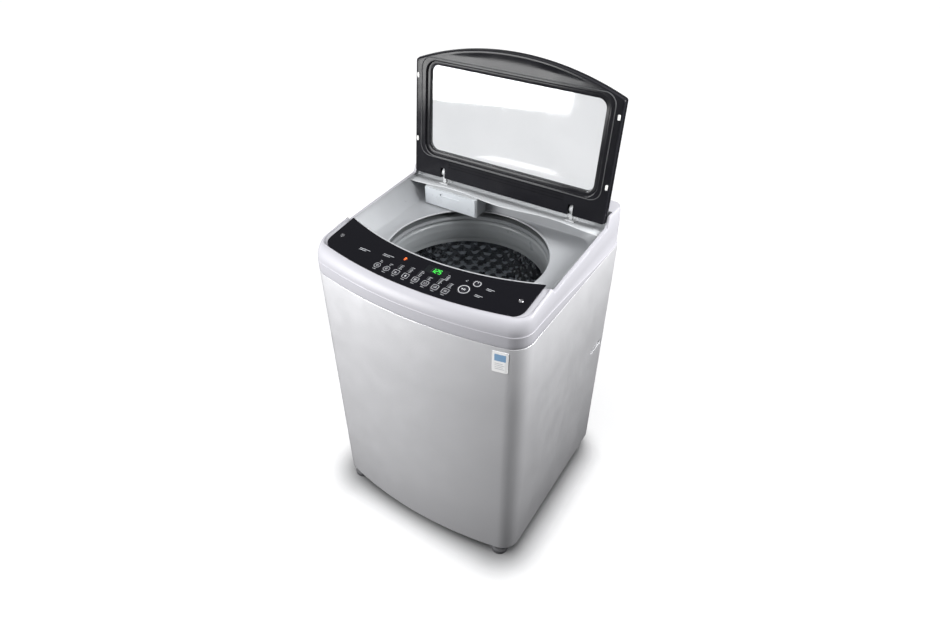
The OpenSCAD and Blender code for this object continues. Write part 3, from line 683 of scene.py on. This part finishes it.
def cover_limit(y):
    """Height of the cover's top along its depth: panel hump, lid rails, rear ridge."""
    rail = 846.5 * MM + (y + 103 * MM) * 16 / 279
    front = smoothstep(y, -110 * MM, -101 * MM)
    low = panel_plane(y) * (1 - front) + rail * front
    rear = smoothstep(y, 176 * MM, 192 * MM)
    return low * (1 - rear) + (RIDGE_Z - 0.3 * MM) * rear


def arched(half, arc_cy, radius, corner, rear_y, rear_corner, n=80):
    """Outline with a curved front edge, straight sides and a straight rear edge."""
    side_y = arc_cy - math.sqrt((radius - corner) ** 2 - (half - corner) ** 2)
    turn = math.asin((half - corner) / (radius - corner))
    q = math.pi / 2
    front = arc(0, arc_cy, radius, -q - turn, -q + turn, n)
    right = (arc(half - corner, side_y, corner, -q + turn, 0, 8)[1:]
             + arc(half - rear_corner, rear_y - rear_corner, rear_corner, 0, q, 6))
    return front + right + [(-x, y) for x, y in reversed(right)]


def well_outline(grow):
    return arched(LID_HALF + 3 * MM + grow, TRIM_ARC_CY, TRIM_ARC_R - 2 * MM + grow, 9 * MM,
                  215 * MM + grow, 6 * MM)


def deck_outline(grow):
    return rounded_rect(500 * MM + 2 * grow, 344 * MM + 2 * grow, 40 * MM + grow, 14, 0, 34 * MM)


def mouth_outline(grow):
    radius = 205 * MM + grow
    front = 133 * MM + grow
    turn = math.acos(front / radius)
    q = math.pi / 2
    half = radius * math.sin(turn)
    return arc(0, 0, radius, -q + turn, 3 * q - turn, 150) + [(half * x / 12, -front) for x in range(-11, 12)]


def crescent(inset):
    """Panel outline between the bowed front and the lid's front arc."""
    radius = TRIM_ARC_R + 2.6 * MM + inset
    limit = -99 * MM - inset
    side = 26 * MM + inset

    def rear(x):
        return min(limit, TRIM_ARC_CY - math.sqrt(radius ** 2 - x ** 2))
    outline = plan(side, side, 34 * MM - inset)
    left = [p for p in outline if p[1] < rear(p[0]) and p[0] < 0]
    right = [p for p in outline if p[1] < rear(p[0]) and p[0] >= 0]
    left = sorted(left, key=lambda p: math.atan2(p[1] + 150 * MM, p[0]) % math.tau)
    right = sorted(right, key=lambda p: (math.atan2(p[1] + 150 * MM, p[0]) + math.pi) % math.tau)
    half = HALF_W - side
    back = [(half * (1 - i / 40), rear(half * (1 - i / 40))) for i in range(81)]
    return left + right + back


def spokes(centre, outlines, count=360):
    """Directions from a centre: evenly spaced ones and those of the outlines' own points."""
    found = [math.tau * i / count for i in range(count)]
    for outline in outlines:
        found += [math.atan2(y - centre[1], x - centre[0]) % math.tau for x, y in outline]
    result = []
    for angle in sorted(found):
        if not result or angle - result[-1] > 0.0008:
            result.append(angle)
    return result


def cover_skin():
    """Moulded pearl cover: skirt, rounded shoulder, panel seat, lid rails, funnel, deck and ridge."""
    centre = (0, 30 * MM)
    angles = spokes(centre, [plan(0, 0, CORNER_R, 26 * MM), well_outline(0), deck_outline(0)], 720)
    deck_z = 797 * MM

    def ring(outline, height):
        points = inside_ring(outline, centre, angles)
        return [(x, y, height(x, y) if callable(height) else height) for x, y in points]

    def crease(x, y):
        """Height of the soft crease round the skirt: level at the front, falling to the rear."""
        return SEAM_Z + 4 * MM + 26 * MM * (1 - smoothstep(y, -190 * MM, 250 * MM))

    rings = [ring(plan(3.0 * MM, 3.0 * MM, CORNER_R - 3 * MM), SEAM_Z + 0.6 * MM)]
    for inset, rise in ((2.2, 0), (0.9, 0), (0.25, 0.35), (0, 1.2)):
        rings.append(ring(plan(inset * MM, inset * MM, CORNER_R - inset * MM), SEAM_Z + rise * MM))
    for share in (0.35, 0.7, 0.96):
        rings.append(ring(plan(0, 0, CORNER_R, REAR_R + 10 * MM * share),
                          lambda x, y, t=share: SEAM_Z + 1.2 * MM + (crease(x, y) - SEAM_Z - 1.2 * MM) * t))
    for inset, rise in ((0.05, 0.0), (0.7, 0.5), (1.1, 1.3)):
        rings.append(ring(plan(inset * MM, inset * MM, CORNER_R - inset * MM, 25 * MM),
                          lambda x, y, t=rise: crease(x, y) + t * MM))
    for step in range(15):
        a = math.radians(90 * step / 14)
        side = 1.2 * MM + 9.8 * MM * (1 - math.cos(a))
        front = 1.2 * MM + 23.8 * MM * (1 - math.cos(a))
        slope = 0.03 + (PANEL_SLOPE - 0.03) * math.sin(a)
        base = 808 * MM + (PANEL_Z - 808 * MM) * math.sin(a)
        rings.append(ring(plan(side, front, CORNER_R - side, 26 * MM - side * 0.5),
                          lambda x, y, b=base, s=slope:
                          soft_min(b + s * (y - PANEL_Y), cover_limit(y) - 0.1 * MM, 1.6 * MM)))

    def seat(depth):
        """Drops by a depth inside the panel's seat, and by nothing beside the lid."""
        return lambda x, y: cover_limit(y) - depth * (1 - smoothstep(y, -108 * MM, -100 * MM))

    for inset, depth in ((0, 0.4), (0.4, 3.0)):
        rings.append(ring(plan((11.4 + inset) * MM, (25.7 + inset) * MM, 34 * MM, 20 * MM), seat(depth * MM)))
    rings.append(ring(well_outline(1.6 * MM), seat(3.0 * MM)))
    for grow, drop in ((1.5, 0.0), (0.5, 0.5), (0, 2.0)):
        rings.append(ring(well_outline(grow * MM), lambda x, y, d=drop: cover_limit(y) - d * MM))
    # From here on the well takes the grey: partly its own colour, partly painted shade for the recess.
    grey_from = len(rings) - 1
    top = inside_ring(well_outline(-0.2 * MM), centre, angles)
    foot = inside_ring(deck_outline(0), centre, angles)
    for share in (0.0, 0.25, 0.5, 0.75, 0.9, 0.97):
        row = []
        for (tx, ty), (fx, fy) in zip(top, foot):
            start = min(cover_limit(ty) - 4 * MM, 851 * MM)
            fillet = 15 * MM * smoothstep(share, 0.85, 1.0) * (1 - share)
            z = start + (deck_z - start) * share + fillet
            row.append((tx + (fx - tx) * share, ty + (fy - ty) * share, z))
        rings.append(row)
    rings.append(ring(deck_outline(-3 * MM), deck_z))
    for grow, drop in ((6, 1.0), (4, 0.2), (1.6, 0.6), (0.4, 1.6), (0, 3.2), (0.6, 4.4), (3, 4.9)):
        rings.append(ring(mouth_outline(grow * MM), deck_z - drop * MM))
    rings.append(ring(plan(8 * MM, 8 * MM, CORNER_R - 8 * MM), 789 * MM))
    rings.append(ring(plan(3.0 * MM, 3.0 * MM, CORNER_R - 3 * MM), 788 * MM))
    rings.append(rings[0])
    obj = loft("top_cover_skin", rings, ["cover_pearl", "well_grey"],
               slot_of=lambda k, i: 1 if k >= grey_from else 0, degrees=40)
    weld = obj.modifiers.new("weld", "WELD")
    weld.merge_threshold = 0.00001
    bake(obj)
    lo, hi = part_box("water_inlet_valve")
    inlet = prism("inlet_cut", rounded_rect(104 * MM, 48 * MM, 5 * MM), 0, 60 * MM, Matrix.Translation(
        ((lo.x + hi.x) / 2, 242 * MM, 846 * MM)) @ Matrix.Rotation(-math.pi / 2, 4, "X"))
    pocket = prism("pocket_cut", crescent(9 * MM), lambda x, y: panel_plane(y) - 24 * MM, RIDGE_Z + 10 * MM)
    cut(obj, [inlet, pocket], 40)
    return piece(obj, "cabinet", ["top_cover"])


def rear_shelf():
    """Light shelf under the lid hinge with a wavy front edge and a rolled lip."""
    z = 849 * MM
    half = 285 * MM
    steps = 160
    across = [-half + 2 * half * i / steps for i in range(steps + 1)]

    def edge(inset):
        return [(x, 160 * MM - 7 * MM * math.cos(math.radians(x / MM * 1.25)) + inset) for x in across]

    back = [(x, 216 * MM) for x in across]
    levels = [(back, 0), (edge(2 * MM), 0), (edge(0.5 * MM), 0.5), (edge(0), 1.4), (edge(0.4 * MM), 2.4),
              (edge(1.6 * MM), 3.0), (edge(24 * MM), 3.0), (back, 3.0)]
    rings = [[(x, y, z + rise * MM) for x, y in row] for row, rise in levels]
    obj = loft("rear_shelf", list(reversed(rings)), ["dispenser_grey"], closed=False)
    return piece(obj, "cabinet")


cabinet_skin()
cover_skin()
rear_shelf()
badge()


# ---------- lid

LID = Matrix.Translation(HINGE) @ Matrix.Rotation(-(math.pi / 2 + LID_LEAN), 4, "X")
LID_CENTRE = (0, -(GLASS_V0 + GLASS_V1) / 2)


def lid_outline(inset):
    return arched(LID_HALF - inset, LID_ARC_R + LID_REAR - LID_MID_L, LID_ARC_R - inset, 7 * MM,
                  LID_REAR - inset, 5 * MM, 100)


def window_outline(grow):
    return rounded_rect(2 * GLASS_HALF + 2 * grow, GLASS_V1 - GLASS_V0 + 2 * grow, 22 * MM + grow, 10,
                        *LID_CENTRE)


LID_SPOKES = spokes(LID_CENTRE, [lid_outline(0), window_outline(0)], 480)


def on_lid(outline, height):
    """Lid points over an outline, at one height or at a height for each place."""
    return [LID @ Vector((x, y, height(x, y) if callable(height) else height)) for x, y in outline]


def lid_ring(outline, height):
    return on_lid(inside_ring(outline, LID_CENTRE, LID_SPOKES), height)


def lid_top_at(drop):
    slope = 8 * MM / LID_MID_L
    return lambda x, y: LID_TOP - (LID_REAR - y) * slope - drop


def notch_cutters():
    """Clearance for the hinge brackets in the lid's rear edge."""
    depth = 33 * MM
    cutters = []
    for side in (-1, 1):
        outline = rounded_rect(14 * MM, depth, 1.5 * MM, 4, side * 190 * MM, LID_REAR - depth / 2 + 2 * MM)
        cutters.append(prism("notch", outline, -40 * MM, 40 * MM, LID))
    return cutters


def lid_outer():
    """Glossy top frame of the lid, seen from behind when the lid is open."""
    rings = []
    for inset, rise in ((0.4, 0.05), (0, 0.5)):
        rings.append(lid_ring(lid_outline(inset * MM), LID_SPLIT + rise * MM))
    for inset, drop in ((0, 4.2), (0.25, 2.8), (0.9, 1.5), (1.9, 0.6), (3.4, 0.15), (5.5, 0)):
        rings.append(lid_ring(lid_outline(inset * MM), lid_top_at(drop * MM)))
    for grow, drop in ((1.6, 0), (0.7, 0.25), (0.1, 0.9), (0, 1.6)):
        rings.append(lid_ring(window_outline(grow * MM), lid_top_at(drop * MM)))
    for grow, z in ((0, -2.9), (7.9, -2.75), (8, -4.95)):
        rings.append(lid_ring(window_outline(grow * MM), z * MM))
    rings.append(rings[0])
    obj = loft("lid_top_frame", rings, ["lid_black"], degrees=35)
    cut(obj, notch_cutters(), 35)
    return piece(obj, "lid", ["lid_outer_frame"])


def lid_inner():
    """Under frame of the lid: rounded border, dished front grip, stepped window, grooved hinge end."""
    def dish(share):
        def height(x, y):
            front = smoothstep(-y, 280 * MM, 310 * MM) * (1 - smoothstep(abs(x), 80 * MM, 235 * MM))
            return LID_UNDER + 2 * MM * front * math.sin(math.pi * share)
        return height

    rings = [lid_ring(lid_outline(1.5 * MM), z) for z in (LID_SPLIT, LID_UNDER + 4.4 * MM)]
    for inset, rise in ((1.75, 2.6), (2.5, 1.2), (3.8, 0.35), (5.6, 0)):
        rings.append(lid_ring(lid_outline(inset * MM), LID_UNDER + rise * MM))
    outer = inside_ring(lid_outline(8 * MM), LID_CENTRE, LID_SPOKES)
    inner = inside_ring(window_outline(14 * MM), LID_CENTRE, LID_SPOKES)
    for share in (0.0, 0.06, 0.14, 0.25, 0.4, 0.55, 0.7, 0.82, 0.92, 1.0):
        row = [(ox + (ix - ox) * share, oy + (iy - oy) * share) for (ox, oy), (ix, iy) in zip(outer, inner)]
        rings.append(on_lid(row, dish(share)))
    for grow, rise in ((11.5, 0), (10.5, 0.4), (10, 1.3), (10, 5.2), (9.4, 6), (2, 6), (0.6, 6.4), (0, 7.2),
                       (0, 11.4)):
        rings.append(lid_ring(window_outline(grow * MM), LID_UNDER + rise * MM))
    rings.append(rings[0])
    obj = loft("lid_under_frame", rings, ["lid_black"], degrees=35)
    grooves = []
    for v in (22, 30, 38):
        outline = rounded_rect(340 * MM, 3.4 * MM, 1.6 * MM, 6, 0, -v * MM)
        grooves.append(prism("groove", outline, LID_UNDER - 5 * MM, LID_UNDER + 2 * MM, LID))
    cut(obj, notch_cutters() + grooves, 35)
    return piece(obj, "lid", ["lid_inner_frame"])


def lid_gasket():
    """Soft lip that runs round the window on the lid's underside."""
    centre_v = LID_CENTRE[1] - 2 * MM
    depth = GLASS_V1 - GLASS_V0 + 34 * MM
    rings = []
    for inset, z in ((0, 0.0), (0.1, -0.9), (0.7, -1.5), (1.25, -1.6), (1.8, -1.5), (2.4, -0.9), (2.5, 0.0)):
        edge = 2 * inset * MM
        outline = rounded_rect(524 * MM - edge, depth - edge, (30 - inset) * MM, 14, 0, centre_v)
        rings.append(on_lid(outline, LID_UNDER + z * MM))
    rings.append(rings[0])
    obj = loft("lid_gasket", rings, ["seal_grey"], degrees=40)
    return piece(obj, "lid", ["lid_seal"])


def lid_pane():
    """Tempered glass with ground edges."""
    rings = []
    for grow, z in ((7.0, -5.0), (7.7, -4.6), (7.7, -3.2), (7.0, -2.8)):
        rings.append(on_lid(window_outline(grow * MM), z * MM))
    obj = loft("lid_pane", rings, ["lid_glass"], close_ends=True, degrees=25)
    return piece(obj, "lid", ["lid_glass"])


def lid_bumper_pads():
    """Four soft pads with domed faces."""
    pads = []
    for side in (-1, 1):
        for v in (80, 244):
            rings = []
            for inset, z in ((0, 0.0), (0, -1.2), (0.5, -1.8), (1.3, -2.0)):
                size = [(length - 2 * inset) * MM for length in (6, 13)]
                outline = rounded_rect(*size, (2.4 - inset * 0.9) * MM, 6, side * 272 * MM, -v * MM)
                rings.append(on_lid(outline, LID_UNDER + z * MM))
            pads.append(loft("pad", rings, ["bumper_white"], close_ends=True))
    return piece(join("lid_pads", pads), "lid", ["lid_bumpers"])


lid_outer()
lid_inner()
lid_gasket()
lid_pane()
lid_bumper_pads()


# ---------- controls

KEY_X0 = -100 * MM
KEY_PITCH = 26.7 * MM
KEY_Y = -222 * MM
START = (120 * MM, -199 * MM)
POWER = (137 * MM, -171 * MM)
DISPLAY = (34 * MM, -177 * MM)
INK_H = 0.07 * MM


def on_panel(x, y):
    return Matrix.Translation((x, y, panel_plane(y))) @ Matrix.Rotation(PANEL_TILT, 4, "X")


def circle_outline(r, cx=0.0, cy=0.0, n=48):
    return arc(cx, cy, r, 0, math.tau, n)[:-1]


def band(outer, inner, z0, z1, matrix, key):
    """Flat closed frame between two outlines of equal length."""
    rings = [[matrix @ Vector((x, y, z)) for x, y in line]
             for line, z in ((outer, z0), (outer, z1), (inner, z1), (inner, z0), (outer, z0))]
    return loft("band", rings, [key])


def marks(name, matrix, z, shapes, key, body):
    """Prints flat shapes on a surface; a shape is one outline, or an outer and an inner one."""
    parts = []
    for shape in shapes:
        if isinstance(shape[0][0], tuple):
            parts.append(band(shape[0], shape[1], z - 0.03 * MM, z + INK_H, matrix, key))
        else:
            parts.append(prism("mark", shape, z - 0.03 * MM, z + INK_H, matrix, [key]))
    return piece(join(name, parts), body)


def frame_mark(w, h, r, t):
    return (rounded_rect(w, h, r, 6), rounded_rect(w - 2 * t, h - 2 * t, r - t, 6))


def ring_mark(r, t):
    return (circle_outline(r), circle_outline(r - t))


def bar(cx, cy, w, h):
    return rounded_rect(w, h, min(w, h) * 0.45, 4, cx, cy)


def open_ring(r, t, start, end):
    outer = arc(0, 0, r, start, end, 36)
    return outer + list(reversed(arc(0, 0, r - t, start, end, 36)))


def key_glyph(i):
    """Plain signs for the keys: steps, levels, drops and dials."""
    m = MM
    drop = arc(0, -0.6 * m, 2.1 * m, math.radians(-205), math.radians(25), 24) + [(0, 3.8 * m)]
    glyphs = [
        [ring_mark(3.0 * m, 0.6 * m), bar(0, 1.2 * m, 0.7 * m, 2.6 * m)],
        [open_ring(3.0 * m, 0.6 * m, 0.6, 5.4), bar(0, 0, 1.6 * m, 1.6 * m)],
        [bar(0, -2.4 * m, 6 * m, 0.9 * m), bar(-0.8 * m, -0.4 * m, 4.4 * m, 0.9 * m),
         bar(-1.6 * m, 1.6 * m, 2.8 * m, 0.9 * m)],
        [drop],
        [ring_mark(3.1 * m, 0.6 * m), ring_mark(1.5 * m, 0.6 * m)],
        [open_ring(3.1 * m, 0.6 * m, 1.9, 7.2), bar(2.2 * m, 2.6 * m, 2.0 * m, 0.7 * m)],
        [bar(-2.2 * m, -1.2 * m, 1.0 * m, 2.6 * m), bar(0, -0.4 * m, 1.0 * m, 4.2 * m),
         bar(2.2 * m, 0.4 * m, 1.0 * m, 5.8 * m)],
        [frame_mark(6 * m, 5 * m, 1.2 * m, 0.6 * m), bar(0, 0, 2.6 * m, 0.8 * m)],
    ]
    return glyphs[i]


def key_marks():
    m = MM
    for i in range(8):
        if i < 2:
            rim = ring_mark(8.0 * m, 0.75 * m)
        else:
            rim = frame_mark(15.6 * m, 15.6 * m, 4.2 * m, 0.75 * m)
        at = on_panel(KEY_X0 + KEY_PITCH * i, KEY_Y)
        marks(f"key_{i + 1}_sign", at, 0.9 * m, [rim] + key_glyph(i), "ink_key", f"key_{i + 1}")
    start = [ring_mark(12.9 * m, 1.3 * m), [(-5.4 * m, -2.8 * m), (-1.9 * m, 0), (-5.4 * m, 2.8 * m)]]
    start[1:1] = [bar(x * m, 0, 1.3 * m, 5.6 * m) for x in (-0.2, 2.6)]
    marks("start_pause_sign", on_panel(*START), 1.1 * m, start, "ink_bright", "start_pause_button")
    power = [open_ring(8.8 * m, 1.1 * m, math.radians(112), math.radians(428))]
    power.append(bar(0, 5.6 * m, 1.2 * m, 6 * m))
    marks("power_sign", on_panel(*POWER), 1.1 * m, power, "ink_bright", "power_button")


def panel_marks():
    """Rows of short rules and lamp dots where a real panel lists its programs."""
    m = MM
    rules = []
    dots = []
    for i in range(8):
        x = KEY_X0 / m + KEY_PITCH / m * i
        rows = (2, 2, 4, 5, 5, 3, 5, 4)[i]
        for row in range(rows):
            length = (7.5, 5.5, 8.5, 6.5, 7.0)[(row + i) % 5]
            y = 13.5 + 4.1 * row
            rules.append(bar((x - 2.5 + length / 2) * m, y * m, length * m, 1.1 * m))
            if i > 1:
                dots.append(circle_outline(0.75 * m, (x - 5.0) * m, y * m, 16))
        rules.append(bar(x * m, -12.6 * m, 9 * m, 1.0 * m))
    at = on_panel(0, KEY_Y)
    marks("panel_rules", at, PANEL_PROUD, rules, "ink_light", "cabinet")
    marks("panel_lamps", at, PANEL_PROUD, dots, "ink_dim", "cabinet")
    side = []
    for cx, cy in ((150, -201), (163, -173)):
        for k, length in enumerate((19, 13)):
            side.append(bar((cx + length / 2) * m, (cy + 222 - 4 * k) * m, length * m, 1.3 * m))
    for k, length in enumerate((30, 21)):
        side.append(bar((-176 + length / 2) * m, (32 - 4.4 * k) * m, length * m, 1.5 * m))
        side.append(bar((-112 + length / 2) * m, (40 - 4.4 * k) * m, length * m, 1.2 * m))
    side.append(bar(68 * m, 46 * m, 6 * m, 1.2 * m))
    for k in range(4):
        side.append(bar(69 * m, (41 - 3.6 * k) * m, 8 * m, 1.1 * m))
    marks("panel_side_rules", at, PANEL_PROUD, side, "ink_light", "cabinet")
    ring = [(x + 112 * m, y + 50 * m) for x, y in open_ring(2.6 * m, 0.6 * m, 0.5, 5.6)]
    marks("panel_lock_ring", at, PANEL_PROUD, [ring], "ink_light", "cabinet")
    flame = [bar(-55 * m, 47 * m, 6.5 * m, 1.6 * m), bar(-55 * m, 43.6 * m, 4.2 * m, 1.6 * m),
             [(-58.6 * m, 49.4 * m), (-51.4 * m, 49.4 * m), (-55 * m, 53.4 * m)]]
    marks("program_lamp", at, PANEL_PROUD, flame, "glow_orange", "cabinet")


SEGMENTS = {"1": "bc", "2": "abged", "5": "afgcd"}


def segment(which, cx, w, h, t):
    """Outline of one of a digit's seven bars, slanted a little."""
    def flat(y):
        return [(-w / 2 + t * 0.6, y), (-w / 2 + t, y + t / 2), (w / 2 - t, y + t / 2), (w / 2 - t * 0.6, y),
                (w / 2 - t, y - t / 2), (-w / 2 + t, y - t / 2)]

    def tall(x, y):
        half = h / 4 - t * 0.1
        return [(x, y - half), (x + t / 2, y - half + t / 2), (x + t / 2, y + half - t / 2), (x, y + half),
                (x - t / 2, y + half - t / 2), (x - t / 2, y - half + t / 2)]

    side = w / 2 - t / 2 + t * 0.1
    top = h / 2 - t / 2
    upper = h / 4 - t / 4
    shapes = {"a": flat(top), "g": flat(0), "d": flat(-top), "f": tall(-side, upper), "b": tall(side, upper),
              "e": tall(-side, -upper), "c": tall(side, -upper)}
    return [(cx + x + 0.12 * y, y) for x, y in shapes[which]]


def display_digits():
    lit = []
    unlit = []
    for k, figure in enumerate("125"):
        for which in "abcdefg":
            shape = segment(which, (k - 1) * 9.0 * MM, 6.6 * MM, 13.4 * MM, 1.15 * MM)
            (lit if which in SEGMENTS[figure] else unlit).append(shape)
    at = on_panel(*DISPLAY)
    marks("display_digits", at, 0.5 * MM, lit, "glow_green", "cabinet")
    marks("display_unlit", at, 0.5 * MM, unlit, "ink_off", "cabinet")


def screw_caps():
    """Round caps over the panel's two screws, each with a groove and a low dome."""
    profile = [(5.4, 0.0), (5.4, 0.3), (5.0, 0.65), (4.2, 0.72)]
    profile += [(3.9, 0.5), (3.2, 0.5), (1.6, 0.72), (0.05, 0.8)]
    caps = []
    for x in (-246 * MM, 246 * MM):
        matrix = on_panel(x, -173 * MM)
        rings = [[matrix @ Vector(p) for p in circle(r * MM, PANEL_PROUD + z * MM, 64)] for r, z in profile]
        caps.append(loft("cap", rings, ["cap_chrome"], close_ends=True))
    return piece(join("screw_cap_discs", caps), "cabinet", ["panel_screw_caps"])


key_marks()
panel_marks()
display_digits()
screw_caps()


# ---------- drum, balance ring, pulsator

DRUM_R = 238 * MM
DRUM_Z0 = drum_lo.z
DRUM_Z1 = drum_hi.z


def drum_skin():
    """Stainless basket: a rolled top hem, raised cells on the wall and a dished floor."""
    steps = 480
    cells = 40
    rows = 74

    def level(share):
        return DRUM_Z0 + share * (DRUM_Z1 - DRUM_Z0)

    def wall(share, i, depth):
        """Radius of the wall: cells bulge inwards between plain bands at both ends."""
        z = level(share)
        a = math.tau * i / steps
        wave = abs(math.cos(a * cells / 2) * math.cos(math.pi * z / (36 * MM)))
        wave = max(wave, abs(math.sin(a * cells / 2) * math.sin(math.pi * z / (36 * MM))))
        fade = smoothstep(share, 0.10, 0.16) * (1 - smoothstep(share, 0.93, 0.97))
        return DRUM_R - 0.2 * MM - depth * fade * wave ** 3

    rings = []
    for r, z in ((23, 2.0), (120, 2.0), (222, 2.2), (230, 3.4), (235, 6.5), (237.4, 12)):
        rings.append(circle(r * MM, DRUM_Z0 + z * MM, steps))
    for k in range(rows + 1):
        share = 0.04 + 0.955 * k / rows
        rings.append(circle(lambda i, s=share: wall(s, i, 2.2 * MM), level(share), steps))
    rings.append(circle(DRUM_R + 0.2 * MM, DRUM_Z1, steps))
    rings.append(circle(DRUM_R + 1.0 * MM, DRUM_Z1 - 0.2 * MM, steps))
    for k in range(rows, -1, -1):
        share = 0.04 + 0.95 * k / rows
        rings.append(circle(lambda i, s=share: wall(s, i, 1.6 * MM) + 1.0 * MM, level(share), steps))
    for r, z in ((237.5, 5), (233, 1.2), (228, 0.2), (120, 0.0), (23, 0.0)):
        rings.append(circle(r * MM, DRUM_Z0 + z * MM, steps))
    rings.append(rings[0])
    obj = loft("drum_basket", rings, ["drum_steel"], degrees=60)
    return piece(obj, "basket", ["drum"])


def balance_skin():
    """Balance ring: rounded crown, two steps inside and a shallow lower lip."""
    turns = [math.radians(a) for a in range(15, 91, 15)]
    profile = [(202, 0), (242.6, 0), (243, 1), (243, 58)]
    profile += [(235 + 8 * math.cos(a), 58 + 8 * math.sin(a)) for a in turns]
    profile += [(214, 66), (211, 65.4)]
    profile += [(210 - 9 * math.sin(a), 56 + 9 * math.cos(a)) for a in turns]
    profile += [(201, 44), (200.4, 42.5), (200.2, 40), (200.2, 16)]
    profile += [(200.6, 14), (202.2, 12.6), (202.4, 10), (202, 8)]
    rings = [circle(r * MM, ring_lo.z + z * MM, 256) for r, z in profile]
    rings.append(rings[0])
    obj = loft("balance_ring_skin", rings, ["ring_grey"])
    return piece(obj, "basket", ["balance_ring"])


def pulsator_skin():
    """Wash plate: swept vanes and fine ripples round a domed hub, and a rolled rim."""
    steps = 360
    radius = 172 * MM
    base = pulsator_lo.z

    def height(r, a):
        share = r / radius
        dome = 34 * MM * (1 - smoothstep(r, 14 * MM, 62 * MM)) * 0.82 + 10 * MM * (1 - share)
        sweep = a * 6 + 2.2 * share
        vane = max(0.0, math.cos(sweep)) ** 5
        lift = 17 * MM * vane * smoothstep(r, 34 * MM, 62 * MM) * (1 - smoothstep(r, 120 * MM, 164 * MM))
        spread = smoothstep(r, 70 * MM, 95 * MM) * (1 - smoothstep(r, 148 * MM, 160 * MM))
        ripple = 0.7 * MM * math.cos(a * 48) * spread
        return base + 7 * MM + dome + lift + ripple * (1 - vane)

    rings = [circle(r * MM, base + z * MM, steps) for r, z in ((3, 29.5), (13.6, 29.5), (14, 43.6))]
    for k in range(1, 80):
        rings.append(circle(14.4 * MM + (radius - 17 * MM) * k / 80, height, steps))
    for r, z in ((170.5, 6.2), (172, 4.0), (171.6, 1.5), (168, 0.0), (3, 0.0)):
        rings.append(circle(r * MM, base + z * MM, steps))
    rings.append(rings[0])
    obj = loft("pulsator_plate", rings, ["pulsator_grey"], degrees=40)
    return piece(obj, "pulsator", ["pulsator"])


drum_skin()
balance_skin()
pulsator_skin()


# ---------- CAD pieces that stay

def finish_cad_nodes():
    """Gives every CAD node its material, and softens the edges of those that can be seen."""
    soft_edges = {"control_panel": 0.5, "hinge_bracket_left": 0.8, "hinge_bracket_right": 0.8,
                  "dispenser_housing": 0.6, "side_hose_clip": 0.5, "base_frame": 0.4,
                  "start_pause_button": 0.4, "power_button": 0.35, "display_module": 0.25,
                  "water_inlet_valve": 0.6, "lid_switch": 0.5, "detergent_drawer": 0.6}
    soft_edges.update({f"key_{i}": 0.4 for i in range(1, 9)})
    soft_edges.update({f"foot_{place}": 0.7 for place in
                       ("front_left", "front_right", "rear_left", "rear_right")})
    for row in frame["record"]["subparts"]:
        obj = NODES[row["node"]]
        obj.data.materials.clear()
        obj.data.materials.append(M[row["material_slot"]])
        if row["node"] in soft_edges:
            bevel(obj, soft_edges[row["node"]] * MM, 3, 35)


finish_cad_nodes()
